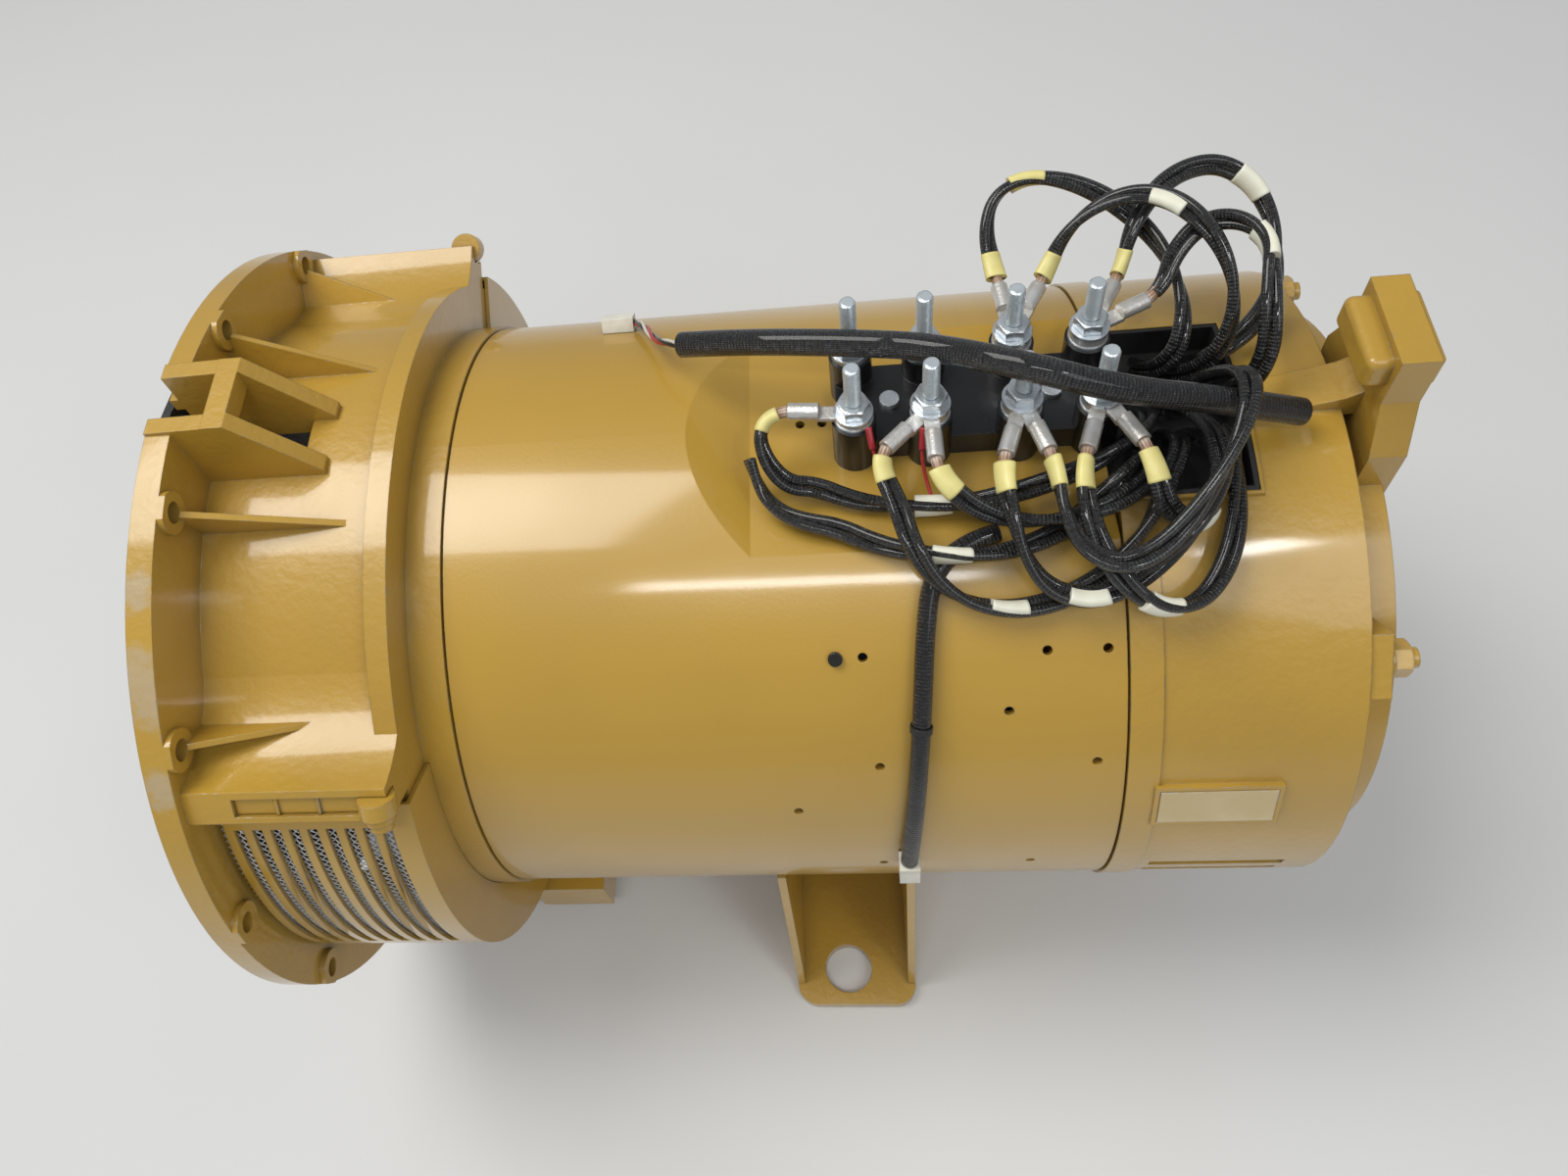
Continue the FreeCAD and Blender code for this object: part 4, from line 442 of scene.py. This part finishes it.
cast_paint = surface("cast_ochre_paint", **PAINT, patch=9.0, grain=160.0, depth=0.0006)
wear_rim(cast_paint, THIN_PAINT, WORN_SPOTS)
sheet_paint = surface("sheet_ochre_paint", **PAINT, patch=5.0, grain=420.0, depth=0.00012)
bar_paint = surface("bar_ochre_paint", **PAINT, patch=16.0, grain=300.0, depth=0.0005, wear_width=0.002)
plate = surface(
    "overpainted_plate", (0.70, 0.58, 0.36), (0.62, 0.48, 0.25), rough=0.32, metal=0.2,
    patch=20.0, grain=700.0, depth=0.0002, wear=(0.6, 0.6, 0.58),
)

# Metals
zinc = surface(
    "zinc_plate", (0.74, 0.79, 0.82), (0.58, 0.62, 0.66), rough=0.26, metal=0.75,
    patch=60.0, grain=900.0, depth=0.0001, wear=(0.3, 0.28, 0.24),
)
studs = surface(
    "threaded_zinc", (0.82, 0.90, 0.93), (0.68, 0.75, 0.79), rough=0.22, metal=0.7,
    patch=60.0, grain=900.0, depth=0.0001, shade_and_dirt=0.3,
)
mesh_wire = surface(
    "galvanised_wire", (0.88, 0.88, 0.86), (0.74, 0.74, 0.72), rough=0.34, metal=0.25,
    patch=40.0, grain=900.0, depth=0.00005, shade_and_dirt=0.2,
)
tinned = surface(
    "tinned_copper", (0.82, 0.82, 0.80), (0.66, 0.63, 0.58), rough=0.34, metal=0.7,
    patch=70.0, grain=700.0, wear=(0.55, 0.33, 0.2),
)
black_steel = surface(
    "black_steel", (0.085, 0.084, 0.088), (0.07, 0.069, 0.072), rough=0.36, metal=0.7,
    patch=8.0, grain=600.0, depth=0.0002, shade_and_dirt=0.4, wear=(0.3, 0.3, 0.3),
)
hub_iron = surface(
    "machined_iron", (0.28, 0.275, 0.265), (0.19, 0.185, 0.175), rough=0.42, metal=0.85,
    patch=25.0, grain=400.0, wear=(0.45, 0.45, 0.45),
)
bright = surface(
    "bearing_steel", (0.66, 0.67, 0.69), (0.5, 0.5, 0.52), rough=0.2, metal=1.0,
    patch=50.0, grain=900.0, depth=0.00006, shade_and_dirt=0.3,
)
brass = surface(
    "machined_brass", (0.72, 0.5, 0.2), (0.5, 0.33, 0.12), rough=0.3, metal=0.95,
    patch=50.0, grain=900.0, depth=0.0001, shade_and_dirt=0.3,
)
core = surface(
    "core_sheets", (0.24, 0.23, 0.22), (0.14, 0.13, 0.12), rough=0.45, metal=0.7,
    patch=30.0, grain=800.0, depth=0.0006, height=sheets,
)
copper = surface(
    "varnished_winding", (0.42, 0.17, 0.06), (0.24, 0.08, 0.03), rough=0.35, metal=0.2,
    patch=40.0, grain=260.0, depth=0.0009, shade_and_dirt=0.6, coat=0.4,
)
alloy = surface(
    "cast_aluminium", (0.62, 0.63, 0.64), (0.45, 0.46, 0.46), rough=0.42, metal=0.9,
    patch=25.0, grain=350.0, depth=0.0005, wear=(0.75, 0.75, 0.75),
)

# Plastic, rubber and the floor
plastic = surface(
    "black_plastic", (0.009, 0.009, 0.010), (0.006, 0.006, 0.007), rough=0.3,
    patch=30.0, grain=900.0, depth=0.0001, shade_and_dirt=0.15, shade_and_dirt_colour=(0.02, 0.018, 0.014),
    wear=(0.03, 0.03, 0.03), coat=0.2,
)
rubber = surface(
    "black_rubber", (0.02, 0.02, 0.02), (0.011, 0.011, 0.011), rough=0.6,
    patch=30.0, grain=700.0, shade_and_dirt=0.2, shade_and_dirt_colour=(0.06, 0.055, 0.045),
)
nylon = surface(
    "white_nylon", (0.83, 0.81, 0.72), (0.72, 0.69, 0.58), rough=0.45,
    patch=60.0, grain=900.0, depth=0.0001, shade_and_dirt=0.4,
)
floor_grey = surface(
    "pale_floor", (0.74, 0.74, 0.73), (0.72, 0.72, 0.71), rough=0.8,
    patch=1.5, grain=60.0, depth=0.0002, shade_and_dirt=0.0,
)

# One screw on the barrel and the tie round the side harness are black
recolour_near(zinc, (0.05, 0.05, 0.045), place=(0.3959, -0.134, 0.16), reach=0.012)
recolour_near(nylon, (0.02, 0.02, 0.02), place=(0.4428, -0.167, 0.1326), reach=0.013)

# Coverings of leads, sleeves, harnesses and thin wires
lead_black = braid(
    "varnished_strand", (0.012, 0.012, 0.012), (0.005, 0.005, 0.005), rough=0.34,
    around=9, along=0.0042, depth=0.0013, coat=0.7, lumpy=2.4,
)
sleeve_black = braid(
    "woven_sleeve", (0.016, 0.016, 0.017), (0.007, 0.007, 0.008), rough=0.36,
    around=22, along=0.0042, depth=0.0014, coat=0.5, lumpy=2.4,
)
bare_copper = braid(
    "bare_strands", (0.66, 0.56, 0.48), (0.3, 0.17, 0.1), rough=0.3, around=5, along=0.02, depth=0.0003,
)
yellow_sleeve = braid(
    "yellow_sleeve", (0.80, 0.72, 0.29), (0.76, 0.67, 0.25), rough=0.4, around=2, along=0.02, depth=0.00004,
)
white_sleeve = braid(
    "white_sleeve", (0.80, 0.79, 0.66), (0.76, 0.74, 0.6), rough=0.42, around=2, along=0.02, depth=0.00004,
)
crimp_red = braid(
    "red_crimp", (0.42, 0.02, 0.03), (0.3, 0.012, 0.02), rough=0.3,
    around=2, along=0.02, depth=0.00003, coat=0.5,
)
red_wire = braid(
    "red_wire", (0.5, 0.04, 0.04), (0.4, 0.03, 0.03), rough=0.35, around=2, along=0.01, depth=0.00003,
)
pale_wire = braid(
    "pale_wire", (0.7, 0.68, 0.6), (0.6, 0.58, 0.5), rough=0.35, around=2, along=0.01, depth=0.00003,
)

FINISHES = {
    cast_paint: ["drive_end_housing", "rear_housing", "near_foot", "far_foot"],
    sheet_paint: ["louvre_cover", "stator_barrel", "bearing_cap"],
    bar_paint: [
        "cover_edge_strips", "stator_bars", "cover_latches", "tie_rods", "tie_rod_nuts", "cap_screws",
    ],
    zinc: ["terminal_washers", "terminal_nuts", "small_screws", "disc_bolts"],
    studs: ["terminal_studs"],
    tinned: ["cable_lugs"],
    plastic: ["terminal_block"],
    rubber: ["exit_liner"],
    nylon: ["harness_fittings"],
    plate: ["data_plate"],
    black_steel: ["drive_discs", "disc_clamp_ring"],
    hub_iron: ["drive_hub", "shaft", "hub_key"],
    bright: ["bearing_outer_ring", "bearing_inner_ring", "bearing_balls"],
    brass: ["bearing_cage"],
    core: ["stator_core", "rotor_core", "exciter_stator", "exciter_armature"],
    copper: ["end_windings", "rotor_coils", "exciter_field_coils", "exciter_winding"],
    alloy: ["cooling_fan", "rectifier_carrier", "rectifier_diodes"],
    mesh_wire: ["louvre_mesh"],
}
for finish, names in FINISHES.items():
    for name in names:
        data = nodes[name].data
        if not data.materials:
            data.materials.append(finish)
        for index in range(len(data.materials)):
            data.materials[index] = finish


# Lines and tubes
def steps(line):
    return np.linalg.norm(np.diff(line, axis=0), axis=1)


def along(line):
    """How far each point of a line lies from its start."""
    return np.r_[0, np.cumsum(steps(line))]


DRAWN_PER_POINT = 24
SPLINE_ORDER = 3
COARSE_STEP, FINE_STEP = 0.0015, 0.001


def centre(name, route, step=COARSE_STEP):
    """Evenly spaced points along the smooth spline of a route."""
    curve = bpy.data.curves.new(name + "_line", "CURVE")
    curve.dimensions = "3D"
    curve.resolution_u = DRAWN_PER_POINT
    spline = curve.splines.new("NURBS")
    spline.points.add(len(route) - 1)
    for point, place in zip(spline.points, route):
        point.co = (*place, 1)
    spline.order_u = SPLINE_ORDER
    spline.use_endpoint_u = True
    holder = bpy.data.objects.new(name + "_line", curve)
    drawn = bpy.data.meshes.new_from_object(holder)
    raw = np.array([tuple(v.co) for v in drawn.vertices])
    bpy.data.objects.remove(holder)
    bpy.data.meshes.remove(drawn)
    far = along(raw)
    count = max(2, round(far[-1] / step)) + 1
    even = np.linspace(0, far[-1], count)
    return np.column_stack([np.interp(even, far, raw[:, i]) for i in range(3)])


NEARLY_UPRIGHT = 0.2


def carried(line):
    """Two side directions at each point, turned as little as the line allows."""
    forward = np.gradient(line, axis=0)
    forward /= np.linalg.norm(forward, axis=1)[:, None]
    side = np.cross(forward[0], (0, 0, 1.0))
    if np.linalg.norm(side) < NEARLY_UPRIGHT:
        side = np.cross(forward[0], (0, 1.0, 0))
    sides = []
    for direction in forward:
        side = side - direction * side.dot(direction)
        side /= np.linalg.norm(side)
        sides.append(side)
    sides = np.array(sides)
    return sides, np.cross(forward, sides)


def strand(line, offset, start, pitch):
    """A line that winds round another at a distance."""
    side, top = carried(line)
    turn = start + 2 * math.pi * along(line) / pitch
    return line + offset * (side * np.cos(turn)[:, None] + top * np.sin(turn)[:, None])


def new_mesh(name, points, faces, finishes):
    mesh = bpy.data.meshes.new(name)
    mesh.from_pydata([tuple(p) for p in points], [], faces)
    for finish in finishes:
        mesh.materials.append(finish)
    return mesh


def new_piece(mesh):
    """An object of a mesh that rides on the stator frame."""
    mesh.update()
    made = bpy.data.objects.new(mesh.name, mesh)
    scene.collection.objects.link(made)
    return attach(made, BODY)


def ends(first, rows, around):
    """The closing faces of a tube whose rows of points start at a number."""
    last = first + (rows - 1) * around
    return tuple(first + j for j in reversed(range(around))), tuple(last + j for j in range(around))


THICK_TUBE = 0.004
THICK_SIDES, THIN_SIDES = 20, 14
END_SPOT = (0.5, 0.0)


def tubes(name, parts, sides=None):
    """One piece of round or oval tubes: each part is line, half width, half height, finish, tilt."""
    points, faces, indices, spots = [], [], [], []
    used = []
    for line, wide, high, finish, tilt in parts:
        if finish not in used:
            used.append(finish)
        around = sides or (THICK_SIDES if wide > THICK_TUBE else THIN_SIDES)
        side, top = carried(line)
        far = along(line)
        first = len(points)
        tilt = np.broadcast_to(tilt, len(line))
        for k, place in enumerate(line):
            a = side[k] * math.cos(tilt[k]) + top[k] * math.sin(tilt[k])
            b = top[k] * math.cos(tilt[k]) - side[k] * math.sin(tilt[k])
            for j in range(around):
                angle = 2 * math.pi * j / around
                points.append(place + a * wide * math.cos(angle) + b * high * math.sin(angle))
        for k in range(len(line) - 1):
            row, after = first + k * around, first + (k + 1) * around
            for j in range(around):
                n = (j + 1) % around
                u, next_u = j / around, (j + 1) / around
                faces.append((row + j, row + n, after + n, after + j))
                low, high = far[k], far[k + 1]
                spots += [(u, low), (next_u, low), (next_u, high), (u, high)]
                indices.append(used.index(finish))
        for face in ends(first, len(line), around):
            faces.append(face)
            spots += [END_SPOT] * around
            indices.append(used.index(finish))
    mesh = new_mesh(name, points, faces, used)
    for polygon, index in zip(mesh.polygons, indices):
        polygon.material_index = index
        polygon.use_smooth = len(polygon.vertices) == 4
    layer = mesh.uv_layers.new(name="round_and_along")
    layer.data.foreach_set("uv", np.array(spots, np.float32).ravel())
    return new_piece(mesh)


# Output leads: two strands wound round each other, bare at the lug, with oval sleeves. Radii in metres
STRAND = 0.0031
STRAND_PITCH = 0.26
BARE_STRAND = 0.0034
TURN_BETWEEN_LEADS = 0.7
SLEEVE_WIDE, SLEEVE_HIGH = 0.0066, 0.0044
# Counted in points of the line
BARE_POINTS = 4
BARE_OVERLAP = 3
SLEEVE_REACH = 7
LEAD_WITHOUT_LUG = "lead_2"
SLEEVE_FINISHES = {"yellow": yellow_sleeve, "white": white_sleeve}

for number, (name, places) in enumerate(SLEEVES.items(), start=1):
    line = centre(name, ROUTES[name])
    begin = TURN_BETWEEN_LEADS * number
    skip = 0 if name == LEAD_WITHOUT_LUG else BARE_POINTS
    pair = []
    for half in (0, math.pi):
        path = strand(line, STRAND, begin + half, STRAND_PITCH)
        pair.append((path[skip:], STRAND, STRAND, lead_black, 0.0))
    if name != LEAD_WITHOUT_LUG:
        pair.append((line[: skip + BARE_OVERLAP], BARE_STRAND, BARE_STRAND, bare_copper, 0.0))
    lead = tubes("strands_" + name, pair)
    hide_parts(name)
    far = along(line)
    on_it = []
    for index, colour in places:
        middle = int(np.argmin(np.linalg.norm(line - np.array(ROUTES[name][index]), axis=1)))
        low, high = max(skip, middle - SLEEVE_REACH), min(len(line), middle + SLEEVE_REACH + 1)
        tilt = begin + 2 * math.pi * far[low:high] / STRAND_PITCH
        on_it.append((line[low:high], SLEEVE_WIDE, SLEEVE_HIGH, SLEEVE_FINISHES[colour], tilt))
    sleeves = tubes("sleeves_" + name, on_it)
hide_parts("lead_markers")

# Thin red wires with a crimp at the post
SENSE_RADIUS = 0.0011
CRIMP_WIDE, CRIMP_HIGH = 0.002, 0.0016
CRIMP_POINTS = 14
WIRE_STARTS_AT = 8
for name, route in SENSE_WIRES.items():
    line = centre(name, route, FINE_STEP)
    wire = tubes(name, [
        (line[WIRE_STARTS_AT:], SENSE_RADIUS, SENSE_RADIUS, red_wire, 0.0),
        (line[:CRIMP_POINTS], CRIMP_WIDE, CRIMP_HIGH, crimp_red, 0.0),
    ])

# Harnesses
UPPER_RADIUS = 0.008
upper = centre("harness_upper", ROUTES["harness_upper"])
upper_piece = tubes("woven_harness", [(upper, UPPER_RADIUS, UPPER_RADIUS, sleeve_black, 0.0)])
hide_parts("harness_upper")

SIDE_RADIUS = 0.0055
side_line = centre("harness_side", ROUTES["harness_side"])
side_piece = tubes("side_harness", [(side_line, SIDE_RADIUS, SIDE_RADIUS, sleeve_black, 0.0)])
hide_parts("harness_side")

TAIL_WIRE, TAIL_OFFSET, TAIL_PITCH = 0.0011, 0.0014, 0.07
TAIL_FINISHES = (red_wire, lead_black, pale_wire)
tail = centre("harness_tail", ROUTES["harness_tail"], FINE_STEP)
wires = []
for k, finish in enumerate(TAIL_FINISHES):
    path = strand(tail, TAIL_OFFSET, 2 * math.pi * k / len(TAIL_FINISHES), TAIL_PITCH)
    wires.append((path, TAIL_WIRE, TAIL_WIRE, finish, 0.0))
tail_piece = tubes("thin_wires", wires)
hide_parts("harness_tail")

# Woven wire behind the slats: its ends in degrees from the near side, sizes in metres
CLOTH_RADIUS = 0.2447
CLOTH_START, CLOTH_END = 0.0175, 0.1394
CLOTH_LOW, CLOTH_HIGH = (math.radians(a) * CLOTH_RADIUS for a in (-213.5, 33.5))
CLOTH_PITCH = 0.005
CLOTH_STEP = CLOTH_PITCH / 2
CLOTH_END_ROOM = 0.001
CLOTH_WIRE = 0.0005
CLOTH_WAVE = 0.8
CLOTH_SIDES = 4
FEWEST_POINTS = 4

cloth_wires = []
run = np.arange(0, CLOTH_END - CLOTH_START + CLOTH_END_ROOM, CLOTH_STEP)
for lean in (1, -1):
    for first in np.arange(CLOTH_LOW - run[-1], CLOTH_HIGH + run[-1], CLOTH_PITCH):
        round_it = first + lean * run
        inside = (round_it > CLOTH_LOW) & (round_it < CLOTH_HIGH)
        if inside.sum() < FEWEST_POINTS:
            continue
        far = run[inside]
        angle = round_it[inside] / CLOTH_RADIUS
        wave = lean * CLOTH_WAVE * CLOTH_WIRE * np.cos(2 * math.pi * far / CLOTH_PITCH)
        reach = CLOTH_RADIUS + wave
        y, z = -reach * np.cos(angle), reach * np.sin(angle)
        line = np.column_stack([CLOTH_START + far, y, z])
        cloth_wires.append((line, CLOTH_WIRE, CLOTH_WIRE, mesh_wire, 0.0))
cloth = tubes("wire_cloth", cloth_wires, sides=CLOTH_SIDES)
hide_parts("louvre_mesh")

# Threaded studs: plain in block and nuts, full thread above. Sizes in metres
STUD_X = (0.4146, 0.4584, 0.5097, 0.5535)
STUD_Y = (-0.012, 0.036)
STUD_REACH = 0.006
STUD_RADIUS, STUD_CORE = 0.005, 0.0045
STUD_END_ROOM = 0.01
SHOULDER_STEP = 0.0001
THREAD_PITCH, THREAD_DEPTH = 0.0015, 0.0008
THREAD_TIP, TIP_SLOPE = 0.0012, 0.6
LEVELS_PER_PITCH = 6
STUD_SIDES = 24


def stud_radius(height, share, shoulder, tip):
    """The thread's radius at a height and a share of a turn."""
    if height < shoulder:
        return STUD_CORE
    wave = abs(((height / THREAD_PITCH - share) % 1) * 2 - 1)
    return STUD_RADIUS - THREAD_DEPTH * wave - TIP_SLOPE * max(0, height - tip + THREAD_TIP)


stud_data = np.array([tuple(v.co) for v in nodes["terminal_studs"].data.vertices])
points, faces = [], []
for x in STUD_X:
    for y in STUD_Y:
        own = stud_data[np.hypot(stud_data[:, 0] - x, stud_data[:, 1] - y) < STUD_REACH]
        foot, tip = own[:, 2].min(), own[:, 2].max()
        inner = (own[:, 2] > foot + STUD_END_ROOM) & (own[:, 2] < tip - STUD_END_ROOM)
        shoulder = own[inner, 2].min()
        threaded = np.arange(shoulder, tip, THREAD_PITCH / LEVELS_PER_PITCH)
        levels = np.r_[foot, shoulder - SHOULDER_STEP, threaded, tip]
        first = len(points)
        for height in levels:
            for j in range(STUD_SIDES):
                size = stud_radius(height, j / STUD_SIDES, shoulder, tip)
                angle = 2 * math.pi * j / STUD_SIDES
                points.append((x + size * math.cos(angle), y + size * math.sin(angle), height))
        for k in range(len(levels) - 1):
            row, after = first + k * STUD_SIDES, first + (k + 1) * STUD_SIDES
            for j in range(STUD_SIDES):
                n = (j + 1) % STUD_SIDES
                faces.append((row + j, row + n, after + n, after + j))
        faces += ends(first, len(levels), STUD_SIDES)
thread_piece = new_piece(new_mesh("threaded_studs", points, faces, [studs]))
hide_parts("terminal_studs")

# Floor
MIDDLE_X = 0.36
FLOOR_SIZE, FLOOR_GAP = 8, 0.0002
bpy.ops.mesh.primitive_plane_add(size=FLOOR_SIZE, location=(MIDDLE_X, 0, cad_box[0][2] - FLOOR_GAP))
floor = bpy.context.object
floor.name = "floor"
floor.data.materials.append(floor_grey)


# Light
def lamp(name, place, power, size, colour=(1, 1, 1)):
    """A rectangular lamp that faces the machine's middle."""
    light = bpy.data.lights.new(name, "AREA")
    light.energy = power
    light.shape = "RECTANGLE"
    light.size, light.size_y = size
    light.color = colour
    made = bpy.data.objects.new(name, light)
    made.location = place
    made.rotation_euler = (Vector((MIDDLE_X, 0, 0)) - Vector(place)).to_track_quat("-Z", "Y").to_euler()
    scene.collection.objects.link(made)


lamp("key", place=(-0.9, 0.3, 2.9), power=62, size=(1.6, 1.6), colour=(1.0, 0.985, 0.95))
lamp("fill", place=(1.9, -1.6, 2.4), power=14, size=(1.4, 1.4), colour=(0.95, 0.98, 1.0))
lamp("barrel_strip", place=(0.27, -1.2, 2.4), power=9, size=(0.9, 0.14))
lamp("rear_strip", place=(1.36, -1.0, 2.4), power=4, size=(0.25, 0.14))

ROOM_COLOUR, ROOM_LIGHT = (0.92, 0.95, 1.0, 1), 0.32
world = bpy.data.worlds.new("room")
world.use_nodes = True
background = world.node_tree.nodes["Background"]
background.inputs["Color"].default_value = ROOM_COLOUR
background.inputs["Strength"].default_value = ROOM_LIGHT
scene.world = world
scene.view_settings.view_transform = "Standard"
